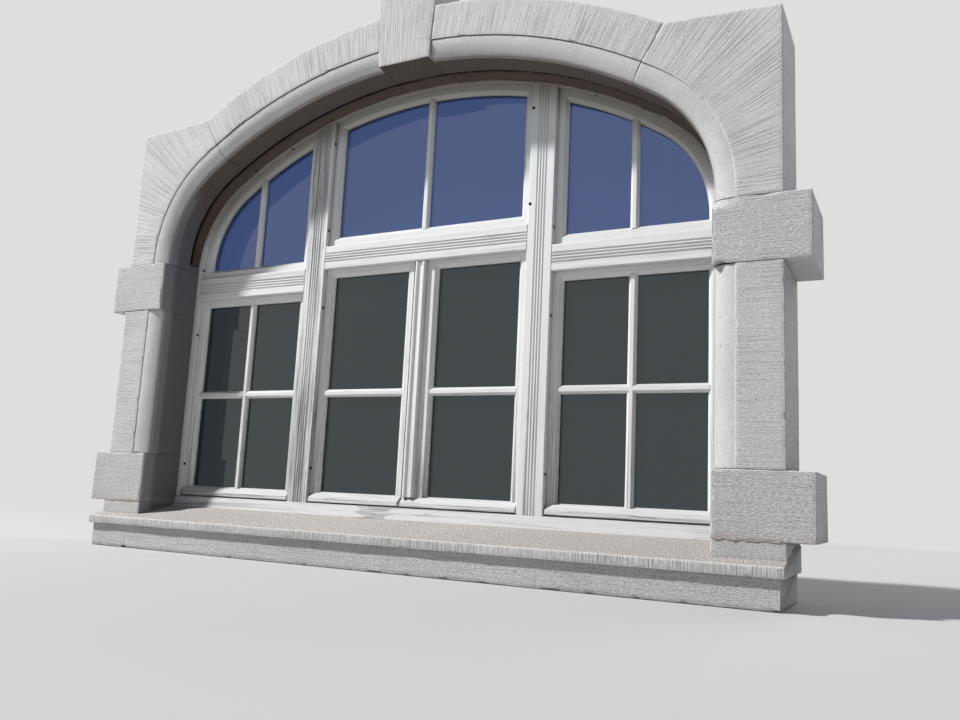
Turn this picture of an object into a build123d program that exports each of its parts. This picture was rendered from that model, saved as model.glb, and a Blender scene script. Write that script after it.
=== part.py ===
# A round-headed window: seven white timber lights under a basket arch, in a dressed sandstone surround.
# Millimetres. X runs along the facade, Y into the room, Z up from the bed of the sill.
# Y = 0 is the face of the jambs. The two centre leaves part left of the middle, at the astragal.
import os
from math import atan2, cos, degrees, radians, sin, tan

from build123d import *

os.makedirs("parts", exist_ok=True)

# The clear opening between the stone reveals, closed by a three-centred arch
opening_half = 1144
arch_rise = 648
haunch_radius = 431
stilt = 30

# The stone surround
roll_width = 69
roll_depth = 30
roll_nose = 14
roll_arris = 2
fillet_step = 4
jamb_face = 137
block_side = 78
block_proud = 2
key_proud = 3
key_drop = 2
key_rise = 108
key_angle = 3.7
joint_angle = 31
shoulder_height = 563
stone_depth = 280
reveal_depth = 192
check_width = 46
hair_joint = 0.8

# The sill and the heights of the jamb stones
sill_band_height = 88
sill_lip_height = 31
sill_band_half = 1341
sill_lip_half = 1353
sill_projection = 60
sill_band_setback = 15
sill_fall = 48
sill_seat_front = 170
stool_height = 14
base_block_height = 196
shaft_height = 602
impost_height = 201

# The mortar strip in the soffit of the arch
soffit_joint = 138
soffit_joint_width = 2
mortar_thick = 11.7
mortar_bed = 0.3

# The fixed timber frame
frame_thick = 64
frame_margin = 2
frame_lip = 20
lip_thick = 20
rebate = 15
mullion_x = 497.5
mullion_width = 99
transom_height = 97
side_transom_z = 1057
centre_transom_z = 1143
rail_lip_height = 44
rail_nose = 14
rail_batter = 12
rail_end_gap = 2
flute_count = 4
flute_pitch = 11
flute_radius = 3.2
arris_chamfer = 3

# The sashes and casement leaves
sash_gap = 0.5
hinge_gap = 2
swing_gap = 4
sash_face = 37
sash_head_face = 30
sash_foot_face = 44
light_foot_face = 41
moulding_width = 13
glass_depth = 21
glass_thick = 3
glass_hold = 7
glass_play = 0.5
bar_width = 30
bar_nose = 13
bar_setback = 3
bar_back = 20
web_width = 12
meeting_x = -28
meeting_gap = 4
left_meeting_face = 32
right_meeting_face = 100

# The weather bars and the astragal
weather_gap = 6
weather_height = 34
weather_depth = 18.5
weather_nose = 14
weather_round = 5
weather_end_gap = 3
weather_meeting_gap = 7.5
weather_bevel = 9
drip_radius = 3
astragal_x = 5
astragal_width = 44
astragal_thick = 18
astragal_bead = 7

# The lift-off hinges
hinge_stand = 7
knuckle_radius = 6.5
knuckle_length = 32
hinge_play = 0.3
pin_radius = 3
pin_play = 0.05
hinge_plate = 28
hinge_plate_thick = 3
hinge_inset = 130

# The cremone bolt on the right centre leaf
cremone_x = 24
cremone_z = 640
case_width = 34
case_height = 120
case_depth = 20
case_bore = 45
rod_radius = 5
rod_stand = 10
rod_end = 18
rod_rest = 6
rod_travel = 26
bolt_play = 1
guide_width = 22
guide_height = 14
guide_depth = 17
guide_spread = 150
keeper_height = 16
keeper_inset = 8
knob_stem = 16
knob_length = 70
knob_width = 20
knob_thick = 14
stem_radius = 5
stem_depth = 9

# The turn buttons
button_length = 36
button_radius = 9
button_thick = 6
button_stand = 0.5
button_pin = 3
button_pin_depth = 25
button_from_edge = 17
button_z = 700
centre_button_z = 520


def basket_radius(centre_gap, rise, small_radius):
    # Radius of the flat arc that runs on smoothly from a small arc, both together as high as rise
    return (centre_gap**2 + rise**2 - small_radius**2) / (2 * (rise - small_radius))


# Sizes that follow from the ones above
sill_lip_top = sill_band_height + sill_lip_height
seat_z = sill_lip_top + sill_fall
stool_top = seat_z + stool_height
base_top = stool_top + base_block_height
shaft_top = base_top + shaft_height
impost_top = shaft_top + impost_height
springing_z = impost_top + stilt
haunch_x = opening_half - haunch_radius
crown_radius = basket_radius(haunch_x, arch_rise, haunch_radius)
crown_centre = springing_z + arch_rise - crown_radius
haunch_angle = degrees(atan2(haunch_x, springing_z - crown_centre))
roll_x = opening_half + roll_width
roll_nose_gap = roll_width - roll_arris - roll_nose
roll_radius = basket_radius(roll_nose_gap, roll_depth, roll_nose)
roll_turn = degrees(atan2(roll_radius - roll_depth, roll_nose_gap))
roll_back = fillet_step + roll_depth
jamb_half = roll_x + jamb_face
block_half = jamb_half + block_side
extrados_radius = crown_radius + roll_width + jamb_face
frame_outside = check_width - frame_margin
frame_back = reveal_depth + frame_thick
lip_back = reveal_depth + lip_thick
sash_front = lip_back + sash_gap
glass_front = sash_front + glass_depth
frame_inner = opening_half - frame_lip
frame_body_inner = frame_inner + rebate
mullion_inner = mullion_x - mullion_width / 2
mullion_outer = mullion_x + mullion_width / 2
mullion_body_inner = mullion_inner + rebate
mullion_body_outer = mullion_outer - rebate
rail_lip_top = seat_z + rail_lip_height
rail_floor = rail_lip_top - rebate
leaf_foot = rail_floor + hinge_gap
glass_foot = rail_lip_top + sash_foot_face
hinge_y = frame_back + hinge_stand
bar_z = (glass_foot + side_transom_z - sash_head_face) / 2
rod_y = frame_back + rod_stand
right_meeting = meeting_x + meeting_gap / 2
left_meeting = meeting_x - meeting_gap / 2
button_x = mullion_body_outer - button_from_edge
centre_button_x = right_meeting + button_from_edge

# The lights are named by bay; each leaf is given by its edges, its glass and its hinge side
leaf_sizes = {
    "left": {
        "edges": (-(frame_body_inner - hinge_gap), -(mullion_body_outer + swing_gap)),
        "glass": (-(frame_inner - sash_face), -(mullion_outer + sash_face)),
        "hinge": -(frame_body_inner - hinge_gap / 2), "side": -1, "head": side_transom_z, "bars": True,
    },
    "centre_left": {
        "edges": (-(mullion_body_inner - hinge_gap), left_meeting),
        "glass": (-(mullion_inner - sash_face), left_meeting - left_meeting_face),
        "hinge": -(mullion_body_inner - hinge_gap / 2), "side": -1, "head": centre_transom_z, "bars": False,
    },
    "centre_right": {
        "edges": (right_meeting, mullion_body_inner - hinge_gap),
        "glass": (right_meeting + right_meeting_face, mullion_inner - sash_face),
        "hinge": mullion_body_inner - hinge_gap / 2, "side": 1, "head": centre_transom_z, "bars": False,
    },
    "right": {
        "edges": (mullion_body_outer + swing_gap, frame_body_inner - hinge_gap),
        "glass": (mullion_outer + sash_face, frame_inner - sash_face),
        "hinge": frame_body_inner - hinge_gap / 2, "side": 1, "head": side_transom_z, "bars": True,
    },
}
light_sizes = {
    "left": {"span": (-opening_half * 2, -mullion_outer), "foot": side_transom_z + transom_height},
    "centre": {"span": (-mullion_inner, mullion_inner), "foot": centre_transom_z + transom_height},
    "right": {"span": (mullion_outer, opening_half * 2), "foot": side_transom_z + transom_height},
}


def save(piece, label):
    piece.part.label = label
    export_step(piece.part, "parts/" + label + ".step")


def facade(y):
    # An upright plane at depth y, with its own y axis up; solids go into the room by a negative amount
    return Plane.XZ.offset(-y)


def between(low, high, mode=Mode.ADD):
    # A rectangle given by two opposite corners
    with Locations(((low[0] + high[0]) / 2, (low[1] + high[1]) / 2)):
        Rectangle(high[0] - low[0], high[1] - low[1], mode=mode)


def arch_outline(grow, foot, mode=Mode.ADD):
    # The opening's outline, moved outwards by grow, from foot up
    half = opening_half + grow
    side_sweep = 90 - haunch_angle
    with BuildLine() as outline:
        Line((-half, foot), (half, foot))
        if foot < springing_z:
            Line((half, foot), (half, springing_z))
            Line((-half, foot), (-half, springing_z))
        CenterArc((haunch_x, springing_z), haunch_radius + grow, 0, side_sweep)
        CenterArc((0, crown_centre), crown_radius + grow, side_sweep, 2 * haunch_angle)
        CenterArc((-haunch_x, springing_z), haunch_radius + grow, 90 + haunch_angle, side_sweep)
    make_face(outline.edges(), mode=mode)


def radial_point(angle, radius, shift):
    # A point on a radial joint line of the crown, moved sideways by shift, away from the middle
    turn = radians(angle)
    return (radius * sin(turn) + shift * cos(turn), crown_centre + radius * cos(turn) - shift * sin(turn))


def mirrored(points, side):
    return [(side * x, z) for x, z in points]


# Voids that are cut from the stones: the opening, the check for the frame, the soffit strip, the roll
with BuildPart() as reveal_void:
    with BuildSketch(facade(-2 * key_proud)):
        arch_outline(0, 0)
    extrude(amount=-(reveal_depth + 2 * key_proud))

with BuildPart() as check_void:
    with BuildSketch(facade(reveal_depth)):
        arch_outline(check_width, 0)
    extrude(amount=-stone_depth)

with BuildPart() as soffit_void:
    with BuildSketch(facade(soffit_joint)):
        arch_outline(mortar_thick + mortar_bed, springing_z)
    extrude(amount=-(reveal_depth - soffit_joint))

with BuildPart() as roll_void:
    with BuildLine(Plane.XZ) as inner_line:
        Line((opening_half, 0), (opening_half, springing_z))
        CenterArc((haunch_x, springing_z), haunch_radius, 0, 90 - haunch_angle)
        CenterArc((0, crown_centre), crown_radius, 90 - haunch_angle, 2 * haunch_angle)
        CenterArc((-haunch_x, springing_z), haunch_radius, 90 + haunch_angle, 90 - haunch_angle)
        Line((-opening_half, springing_z), (-opening_half, 0))
    with BuildSketch(Plane.XY):
        with BuildLine():
            CenterArc((roll_x - roll_nose_gap, roll_back), roll_nose, 180, roll_turn)
            CenterArc((roll_x, fillet_step + roll_radius), roll_radius, 180 + roll_turn, 90 - roll_turn)
            Polyline(
                (roll_x, fillet_step),
                (roll_x, -key_proud),
                (opening_half - roll_arris, -key_proud),
                (opening_half - roll_arris, roll_back),
                (opening_half + roll_arris, roll_back),
            )
        make_face()
    sweep(path=inner_line.wires()[0])


def chip(x, y, z, size):
    # A small break in an arris
    with Locations((x, y, z)):
        Sphere(size, mode=Mode.SUBTRACT)


def make_sill():
    with BuildPart() as sill:
        with BuildSketch(Plane.YZ):
            Polygon(
                (-sill_projection + sill_band_setback, 0),
                (stone_depth, 0),
                (stone_depth, sill_band_height),
                (-sill_projection + sill_band_setback, sill_band_height),
                align=None,
            )
        extrude(amount=sill_band_half, both=True)
        with BuildSketch(Plane.YZ):
            Polygon(
                (-sill_projection, sill_band_height),
                (stone_depth, sill_band_height),
                (stone_depth, seat_z),
                (sill_seat_front, seat_z),
                (-sill_projection, sill_lip_top),
                align=None,
            )
        extrude(amount=sill_lip_half, both=True)
        for side in (-1, 1):
            with BuildSketch(Plane.XY.offset(sill_lip_top)):
                low, high = sorted((side * opening_half, side * jamb_half))
                between((low, 0), (high, stone_depth))
                low, high = sorted((side * opening_half, side * (opening_half + check_width)))
                between((low, reveal_depth), (high, stone_depth), mode=Mode.SUBTRACT)
            extrude(amount=stool_top - sill_lip_top)
        chip(-0.86 * sill_band_half, -sill_projection + sill_band_setback, -6, 16)
    save(sill, "stone_sill")


def make_block(side, foot, height, label, chips):
    # A square block that breaks forward a little and outward of the moulded jamb
    with BuildPart() as block:
        with BuildSketch(Plane.XY.offset(foot + hair_joint)):
            low, high = sorted((side * opening_half, side * block_half))
            between((low, -block_proud), (high, stone_depth))
        extrude(amount=height - hair_joint)
        add(check_void.part, mode=Mode.SUBTRACT)
        for x, z, size in chips:
            chip(side * x, -block_proud - size / 3, foot + z, size)
    save(block, label)


def make_shaft(side, label):
    with BuildPart() as shaft:
        with BuildSketch(Plane.XY.offset(base_top + hair_joint)):
            low, high = sorted((side * opening_half, side * jamb_half))
            between((low, 0), (high, stone_depth))
        extrude(amount=shaft_height - hair_joint)
        add(check_void.part, mode=Mode.SUBTRACT)
        add(roll_void.part, mode=Mode.SUBTRACT)
    save(shaft, label)


def carve_arch_stone():
    add(reveal_void.part, mode=Mode.SUBTRACT)
    add(check_void.part, mode=Mode.SUBTRACT)
    add(soffit_void.part, mode=Mode.SUBTRACT)
    add(roll_void.part, mode=Mode.SUBTRACT)


def make_springer(side, label):
    shoulder_z = springing_z + shoulder_height
    points = [
        (haunch_x, impost_top + hair_joint),
        (jamb_half, impost_top + hair_joint),
        (jamb_half, shoulder_z),
        radial_point(joint_angle, extrados_radius, hair_joint / 2),
        radial_point(joint_angle, crown_radius - haunch_radius / 2, hair_joint / 2),
    ]
    with BuildPart() as springer:
        with BuildSketch(facade(0)):
            Polygon(*mirrored(points, side), align=None)
        extrude(amount=-stone_depth)
        carve_arch_stone()
    save(springer, label)


def make_voussoir(side, label):
    inside = crown_radius - haunch_radius / 2
    outside = extrados_radius * 1.2
    points = [
        radial_point(joint_angle, inside, -hair_joint / 2),
        radial_point(joint_angle, outside, -hair_joint / 2),
        radial_point(key_angle, outside, hair_joint / 2),
        radial_point(key_angle, inside, hair_joint / 2),
    ]
    with BuildPart() as voussoir:
        with BuildSketch(facade(0)):
            Polygon(*mirrored(points, side), align=None)
            with Locations((0, crown_centre)):
                Circle(extrados_radius, mode=Mode.INTERSECT)
        extrude(amount=-stone_depth)
        carve_arch_stone()
    save(voussoir, label)


def make_keystone():
    foot = springing_z + arch_rise - key_drop
    top = crown_centre + extrados_radius + key_rise
    slope = tan(radians(key_angle))
    points = [(sx * (z - crown_centre) * slope, z) for sx, z in ((-1, foot), (1, foot), (1, top), (-1, top))]
    with BuildPart() as keystone:
        with BuildSketch(facade(-key_proud)):
            Polygon(*points, align=None)
        extrude(amount=-(stone_depth + key_proud))
        with BuildSketch(facade(reveal_depth)):
            arch_outline(check_width, 0)
        extrude(amount=-stone_depth, mode=Mode.SUBTRACT)
        add(soffit_void.part, mode=Mode.SUBTRACT)
    save(keystone, "keystone")


def make_soffit_mortar():
    with BuildPart() as mortar:
        with BuildSketch(facade(soffit_joint + soffit_joint_width)):
            arch_outline(mortar_thick, springing_z)
            arch_outline(0, springing_z - 1, mode=Mode.SUBTRACT)
        extrude(amount=-(reveal_depth - soffit_joint - soffit_joint_width - mortar_bed))
    save(mortar, "soffit_mortar")


def flute_cutters(low, high):
    # Half-round flutes along a fluted member, cut into its front; local x runs across the member
    start = -(flute_count - 1) * flute_pitch / 2
    for index in range(flute_count):
        with Locations((start + index * flute_pitch, 0, (low + high) / 2)):
            Cylinder(flute_radius, high - low, mode=Mode.SUBTRACT)


def make_frame_stile(side, label):
    low, high = sorted((side * frame_inner, side * (opening_half + frame_outside)))
    body_low, body_high = sorted((side * frame_body_inner, side * (opening_half + frame_outside)))
    with BuildPart() as stile:
        with BuildSketch(facade(reveal_depth)):
            between((low, rail_lip_top), (high, springing_z))
        extrude(amount=-lip_thick)
        with BuildSketch(facade(lip_back)):
            between((body_low, rail_floor), (body_high, springing_z))
        extrude(amount=-(frame_thick - lip_thick))
    save(stile, label)


def make_frame_head():
    with BuildPart() as head:
        with BuildSketch(facade(reveal_depth)):
            arch_outline(frame_outside, springing_z)
            arch_outline(-frame_lip, springing_z - 1, mode=Mode.SUBTRACT)
        extrude(amount=-lip_thick)
        with BuildSketch(facade(lip_back)):
            arch_outline(frame_outside, springing_z)
            arch_outline(rebate - frame_lip, springing_z - 1, mode=Mode.SUBTRACT)
        extrude(amount=-(frame_thick - lip_thick))
    save(head, "frame_head")


def make_bottom_rail():
    nose_half = opening_half - rail_end_gap
    with BuildPart() as rail:
        with BuildSketch(Plane.YZ):
            Polygon(
                (reveal_depth - rail_nose, seat_z),
                (frame_back, seat_z),
                (frame_back, rail_floor),
                (lip_back, rail_floor),
                (lip_back, rail_lip_top),
                (reveal_depth - rail_nose + rail_batter, rail_lip_top),
                align=None,
            )
        extrude(amount=nose_half, both=True)
        with BuildSketch(Plane.YZ):
            Polygon(
                (reveal_depth, seat_z),
                (frame_back, seat_z),
                (frame_back, rail_floor),
                (lip_back, rail_floor),
                (lip_back, rail_lip_top),
                (reveal_depth, rail_lip_top),
                align=None,
            )
        extrude(amount=opening_half + frame_outside, both=True)
    save(rail, "frame_bottom_rail")


def pin_hole(x, z):
    # The hole for a turn button's pin, drilled from the room side
    with Locations(Location((x, frame_back, z), (90, 0, 0))):
        Cylinder(
            button_pin + pin_play, button_pin_depth, align=(Align.CENTER, Align.CENTER, Align.MIN),
            mode=Mode.SUBTRACT,
        )


def make_mullion(side, label):
    lip = sorted((side * mullion_inner, side * mullion_outer))
    body = sorted((side * mullion_body_inner, side * mullion_body_outer))
    far = springing_z + arch_rise
    with BuildPart() as mullion:
        with BuildSketch(facade(reveal_depth)):
            between((lip[0], rail_lip_top), (lip[1], far))
            arch_outline(-frame_lip, 0, mode=Mode.INTERSECT)
        extrude(amount=-lip_thick)
        chamfer(mullion.faces().sort_by(Axis.Y)[0].edges().filter_by(Axis.Z), arris_chamfer)
        with BuildSketch(facade(lip_back)):
            between((body[0], rail_floor), (body[1], far))
            arch_outline(rebate - frame_lip, 0, mode=Mode.INTERSECT)
        extrude(amount=-(frame_thick - lip_thick))
        with Locations((side * mullion_x, reveal_depth, 0)):
            flute_cutters(rail_lip_top - 1, far)
        pin_hole(side * button_x, button_z)
    save(mullion, label)


def make_transom(span, body_span, foot, label):
    with BuildPart() as transom:
        with BuildSketch(facade(reveal_depth)):
            between((span[0], foot), (span[1], foot + transom_height))
        extrude(amount=-lip_thick)
        chamfer(transom.faces().sort_by(Axis.Y)[0].edges().filter_by(Axis.X), arris_chamfer)
        with BuildSketch(facade(lip_back)):
            between((body_span[0], foot + rebate), (body_span[1], foot + transom_height - rebate))
        extrude(amount=-(frame_thick - lip_thick))
        middle = ((span[0] + span[1]) / 2, reveal_depth, foot + transom_height / 2)
        with Locations(Location(middle, (0, 90, 0))):
            flute_cutters(-(span[1] - span[0]) / 2 - 1, (span[1] - span[0]) / 2 + 1)
    save(transom, label)


def bar_section():
    # Half-lapped bar: a bevelled nose outside, a narrow web at the glass, a square back inside
    nose_y = sash_front + bar_setback
    shoulder = glass_front - glass_play
    back = glass_front + glass_thick + glass_play
    right = [
        (bar_nose / 2, nose_y),
        (bar_width / 2, nose_y + (bar_width - bar_nose) / 2),
        (bar_width / 2, shoulder),
        (web_width / 2, shoulder),
        (web_width / 2, back),
        (bar_back / 2, back),
        (bar_back / 2, frame_back - bar_setback),
    ]
    left = [(-x, y) for x, y in reversed(right)]
    Polygon(*right, *left, align=None)


def upright_bar(x, low, high):
    with BuildSketch(Plane.XY.offset(low)) as section:
        with Locations((x, 0)):
            bar_section()
    extrude(section.sketch, amount=high - low)


def level_bar(z, low, high):
    with BuildSketch(Plane(origin=(low, 0, z), x_dir=(0, 0, -1), z_dir=(1, 0, 0))) as section:
        bar_section()
    extrude(section.sketch, amount=high - low)


def light_outline(light, inset, foot_inset, mode=Mode.ADD):
    # The outline of an upper light, inset from the edges of the lips around it
    low, high = light["span"]
    between((low + inset, light["foot"] + foot_inset), (high - inset, springing_z + 2 * arch_rise), mode=mode)
    arch_outline(-frame_lip - inset, 0, mode=Mode.INTERSECT)


def bevel_glass_edge(piece):
    # The moulding that runs round the glass on the outside
    front = piece.faces().sort_by(Axis.Y)[0]
    chamfer(front.inner_wires()[0].edges(), moulding_width)


def light_middle(light):
    low, high = light["span"]
    low = max(low, -frame_inner)
    high = min(high, frame_inner)
    return (low + high) / 2


def make_light_sash(light, label):
    outer = hinge_gap - rebate
    held = sash_face - glass_hold
    with BuildPart() as sash:
        with BuildSketch(facade(sash_front)):
            light_outline(light, outer, outer)
        extrude(amount=-(frame_back - sash_front))
        with BuildSketch(facade(sash_front)):
            light_outline(light, sash_face, light_foot_face)
        extrude(amount=-(frame_back - sash_front), mode=Mode.SUBTRACT)
        bevel_glass_edge(sash)
        with BuildSketch(facade(glass_front - glass_play)):
            light_outline(light, held, light_foot_face - glass_hold)
        extrude(amount=-(glass_thick + 2 * glass_play), mode=Mode.SUBTRACT)
        upright_bar(light_middle(light), light["foot"] + light_foot_face - moulding_width / 2, springing_z + arch_rise)
        with BuildSketch(facade(reveal_depth)):
            light_outline(light, outer, outer)
        extrude(amount=-frame_thick, mode=Mode.INTERSECT)
    save(sash, label)


def make_light_glass(light, label):
    held = sash_face - glass_hold + glass_play
    middle = light_middle(light)
    web = web_width / 2 + glass_play
    with BuildPart() as glass:
        with BuildSketch(facade(glass_front)):
            light_outline(light, held, light_foot_face - glass_hold + glass_play)
            between((middle - web, 0), (middle + web, springing_z + arch_rise), mode=Mode.SUBTRACT)
        extrude(amount=-glass_thick)
    save(glass, label)


def leaf_top(leaf):
    return leaf["head"] + rebate - hinge_gap


def glass_top(leaf):
    return leaf["head"] - sash_head_face


def make_casement(leaf, label):
    edges = leaf["edges"]
    glass = leaf["glass"]
    with BuildPart() as casement:
        with BuildSketch(facade(sash_front)):
            between((edges[0], leaf_foot), (edges[1], leaf_top(leaf)))
            between((glass[0], glass_foot), (glass[1], glass_top(leaf)), mode=Mode.SUBTRACT)
        extrude(amount=-(frame_back - sash_front))
        bevel_glass_edge(casement)
        with BuildSketch(facade(glass_front - glass_play)):
            between(
                (glass[0] - glass_hold, glass_foot - glass_hold),
                (glass[1] + glass_hold, glass_top(leaf) + glass_hold),
            )
        extrude(amount=-(glass_thick + 2 * glass_play), mode=Mode.SUBTRACT)
        if leaf is leaf_sizes["centre_right"]:
            pin_hole(centre_button_x, centre_button_z)
    save(casement, label)
    return casement.part


def make_casement_bars(leaf, frame, label):
    glass = leaf["glass"]
    with BuildPart() as bars:
        level_bar(bar_z, glass[0] - moulding_width, glass[1] + moulding_width)
        if leaf["bars"]:
            middle = (glass[0] + glass[1]) / 2
            upright_bar(middle, glass_foot - moulding_width, glass_top(leaf) + moulding_width)
        add(frame, mode=Mode.SUBTRACT)
        with BuildSketch(facade(sash_front)):
            between(
                (glass[0] - moulding_width, glass_foot - moulding_width),
                (glass[1] + moulding_width, glass_top(leaf) + moulding_width),
            )
        extrude(amount=-glass_depth + glass_play, mode=Mode.INTERSECT)
        level_bar(bar_z, glass[0], glass[1])
        if leaf["bars"]:
            upright_bar(middle, glass_foot, glass_top(leaf))
    save(bars, label)


def make_casement_glass(leaf, label):
    glass = leaf["glass"]
    hold = glass_hold - glass_play
    web = web_width / 2 + glass_play
    middle = (glass[0] + glass[1]) / 2
    with BuildPart() as panes:
        with BuildSketch(facade(glass_front)):
            between((glass[0] - hold, glass_foot - hold), (glass[1] + hold, glass_top(leaf) + hold))
            between((glass[0] - 2 * hold, bar_z - web), (glass[1] + 2 * hold, bar_z + web), mode=Mode.SUBTRACT)
            if leaf["bars"]:
                between((middle - web, 0), (middle + web, springing_z), mode=Mode.SUBTRACT)
        extrude(amount=-glass_thick)
    save(panes, label)


def weather_span(name):
    # A weather bar stops clear of the mullion lip beside it and of its neighbour at the meeting line
    if name == "centre_left":
        return (-mullion_inner + weather_end_gap, meeting_x - weather_meeting_gap / 2)
    if name == "centre_right":
        return (meeting_x + weather_meeting_gap / 2, mullion_inner - weather_end_gap)
    low, high = mullion_outer + weather_end_gap, frame_inner - weather_end_gap
    return (low, high) if name == "right" else (-high, -low)


def make_weather_bar(name, label):
    low, high = weather_span(name)
    foot = rail_lip_top + weather_gap
    front = sash_front - weather_depth
    with BuildPart() as bar:
        with BuildSketch(Plane.YZ.offset(low)):
            Polygon(
                (sash_front, foot),
                (front, foot),
                (front, foot + weather_nose),
                (sash_front, foot + weather_height),
                align=None,
            )
            with Locations((front + 2 * drip_radius, foot)):
                Circle(drip_radius, mode=Mode.SUBTRACT)
        extrude(amount=high - low)
        nose = bar.edges().filter_by(Axis.X).group_by(Axis.Y)[0].sort_by(Axis.Z)[-1]
        fillet(nose, weather_round)
        ends = bar.faces().sort_by(Axis.Y)[0].edges().filter_by(Axis.Z)
        chamfer(ends, weather_bevel / 3)
    save(bar, label)


def make_astragal():
    foot = rail_lip_top + weather_gap + weather_height
    head = centre_transom_z - hinge_gap
    low = astragal_x - astragal_width / 2
    high = astragal_x + astragal_width / 2
    front = sash_front - astragal_thick
    with BuildPart() as astragal:
        with BuildSketch(Plane.XY.offset(foot)):
            between((low, front + astragal_bead), (high, sash_front))
            with Locations(
                (low + astragal_bead, front + astragal_bead), (high - astragal_bead, front + astragal_bead)
            ):
                Circle(astragal_bead)
        extrude(amount=head - foot)
    save(astragal, "astragal")


def hinge_heights(leaf):
    return (leaf_foot + hinge_inset, leaf_top(leaf) - hinge_inset)


def knuckle(x, z, radius):
    with Locations((x, hinge_y, z)):
        Cylinder(radius, knuckle_length, align=(Align.CENTER, Align.CENTER, Align.MIN))


def make_frame_hinges():
    with BuildPart() as hinges:
        for leaf in leaf_sizes.values():
            for z in hinge_heights(leaf):
                side = leaf["side"]
                low, high = sorted((leaf["hinge"], leaf["hinge"] + side * hinge_plate))
                with BuildSketch(facade(frame_back)):
                    between((low, z - knuckle_length), (high, z))
                extrude(amount=-hinge_plate_thick)
                knuckle(leaf["hinge"], z - knuckle_length, knuckle_radius)
                with Locations((leaf["hinge"], hinge_y, z)):
                    Cylinder(
                        pin_radius, knuckle_length - hinge_play, align=(Align.CENTER, Align.CENTER, Align.MIN)
                    )
    save(hinges, "frame_hinges")


def make_leaf_hinges(leaf, label):
    with BuildPart() as hinges:
        for z in hinge_heights(leaf):
            side = leaf["side"]
            low, high = sorted((leaf["hinge"], leaf["hinge"] - side * hinge_plate))
            with BuildSketch(facade(frame_back)):
                between((low, z + hinge_play), (high, z + hinge_play + knuckle_length))
            extrude(amount=-hinge_plate_thick)
            knuckle(leaf["hinge"], z + hinge_play, knuckle_radius)
            with Locations((leaf["hinge"], hinge_y, z)):
                Cylinder(
                    pin_radius + pin_play, knuckle_length, align=(Align.CENTER, Align.CENTER, Align.MIN),
                    mode=Mode.SUBTRACT,
                )
    save(hinges, label)


def make_cremone_case():
    with BuildPart() as case:
        with BuildSketch(facade(frame_back)):
            with Locations((cremone_x, cremone_z)):
                RectangleRounded(case_width, case_height, case_width / 3)
        extrude(amount=-case_depth)
        chamfer(case.faces().sort_by(Axis.Y)[-1].edges(), arris_chamfer)
        for way in (-1, 1):
            middle = cremone_z + way * (case_height - case_bore) / 2
            with Locations((cremone_x, rod_y, middle)):
                Cylinder(rod_radius + pin_play, case_bore, mode=Mode.SUBTRACT)
        with Locations(Location((cremone_x, frame_back + case_depth, cremone_z), (90, 0, 0))):
            Cylinder(
                stem_radius + pin_play, stem_depth + hinge_play, align=(Align.CENTER, Align.CENTER, Align.MIN),
                mode=Mode.SUBTRACT,
            )
    save(case, "cremone_case")


def make_cremone_knob():
    stem_end = frame_back + case_depth - stem_depth
    lens_y = frame_back + case_depth + knob_stem
    with BuildPart() as knob:
        with BuildSketch(facade(stem_end)):
            with Locations((cremone_x, cremone_z)):
                Circle(stem_radius)
        extrude(amount=-(stem_depth + knob_stem))
        with BuildSketch(facade(lens_y)):
            with Locations((cremone_x, cremone_z)):
                SlotOverall(knob_length, knob_width)
        extrude(amount=-knob_thick)
        fillet(knob.faces().sort_by(Axis.Y)[-1].edges(), knob_thick / 3)
    save(knob, "cremone_knob")


def rod_span(way):
    # The rods end inside the case and stop short of the leaf's ends when drawn back
    if way > 0:
        return (cremone_z + rod_end, leaf_top(leaf_sizes["centre_right"]) - rod_rest)
    return (leaf_foot + rod_rest, cremone_z - rod_end)


def make_cremone_rod(way, label):
    low, high = rod_span(way)
    with BuildPart() as rod:
        with Locations((cremone_x, rod_y, (low + high) / 2)):
            Cylinder(rod_radius, high - low)
        tip = rod.faces().sort_by(Axis.Z)[-1 if way > 0 else 0]
        chamfer(tip.edges(), rod_radius / 4)
    save(rod, label)


def make_cremone_guides():
    upper = rod_span(1)
    lower = rod_span(-1)
    heights = (
        cremone_z + guide_spread, upper[1] - guide_height, cremone_z - guide_spread, lower[0] + guide_height
    )
    with BuildPart() as guides:
        for z in heights:
            with BuildSketch(facade(frame_back)):
                between(
                    (cremone_x - guide_width / 2, z - guide_height / 2),
                    (cremone_x + guide_width / 2, z + guide_height / 2),
                )
            extrude(amount=-guide_depth)
            with Locations((cremone_x, rod_y, z)):
                Cylinder(rod_radius + pin_play, guide_height, mode=Mode.SUBTRACT)
    save(guides, "cremone_guides")


def make_cremone_keepers():
    upper = centre_transom_z + rebate + keeper_inset
    lower = rail_floor - keeper_inset - keeper_height
    with BuildPart() as keepers:
        for z in (upper, lower):
            with BuildSketch(facade(frame_back)):
                between((cremone_x - guide_width / 2, z), (cremone_x + guide_width / 2, z + keeper_height))
            extrude(amount=-guide_depth)
            with Locations((cremone_x, rod_y, z + keeper_height / 2)):
                Cylinder(rod_radius + bolt_play, keeper_height, mode=Mode.SUBTRACT)
    save(keepers, "cremone_keepers")


def make_turn_button(x, z, label):
    # A tongue on a pin; it stands upright when the leaf is free and lies over the leaf when turned
    front = frame_back + button_stand
    with BuildPart() as button:
        with BuildSketch(facade(front)):
            with Locations((x, z)):
                Circle(button_radius)
            with BuildLine():
                Polyline(
                    (x - button_radius, z),
                    (x + button_radius, z),
                    (x + button_radius / 2, z + button_length),
                    (x - button_radius / 2, z + button_length),
                    close=True,
                )
            make_face()
        extrude(amount=-button_thick)
        with Locations(Location((x, front, z), (90, 0, 0))):
            Cylinder(
                button_pin, button_pin_depth - 2 * button_stand,
                align=(Align.CENTER, Align.CENTER, Align.MIN),
            )
    save(button, label)


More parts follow.
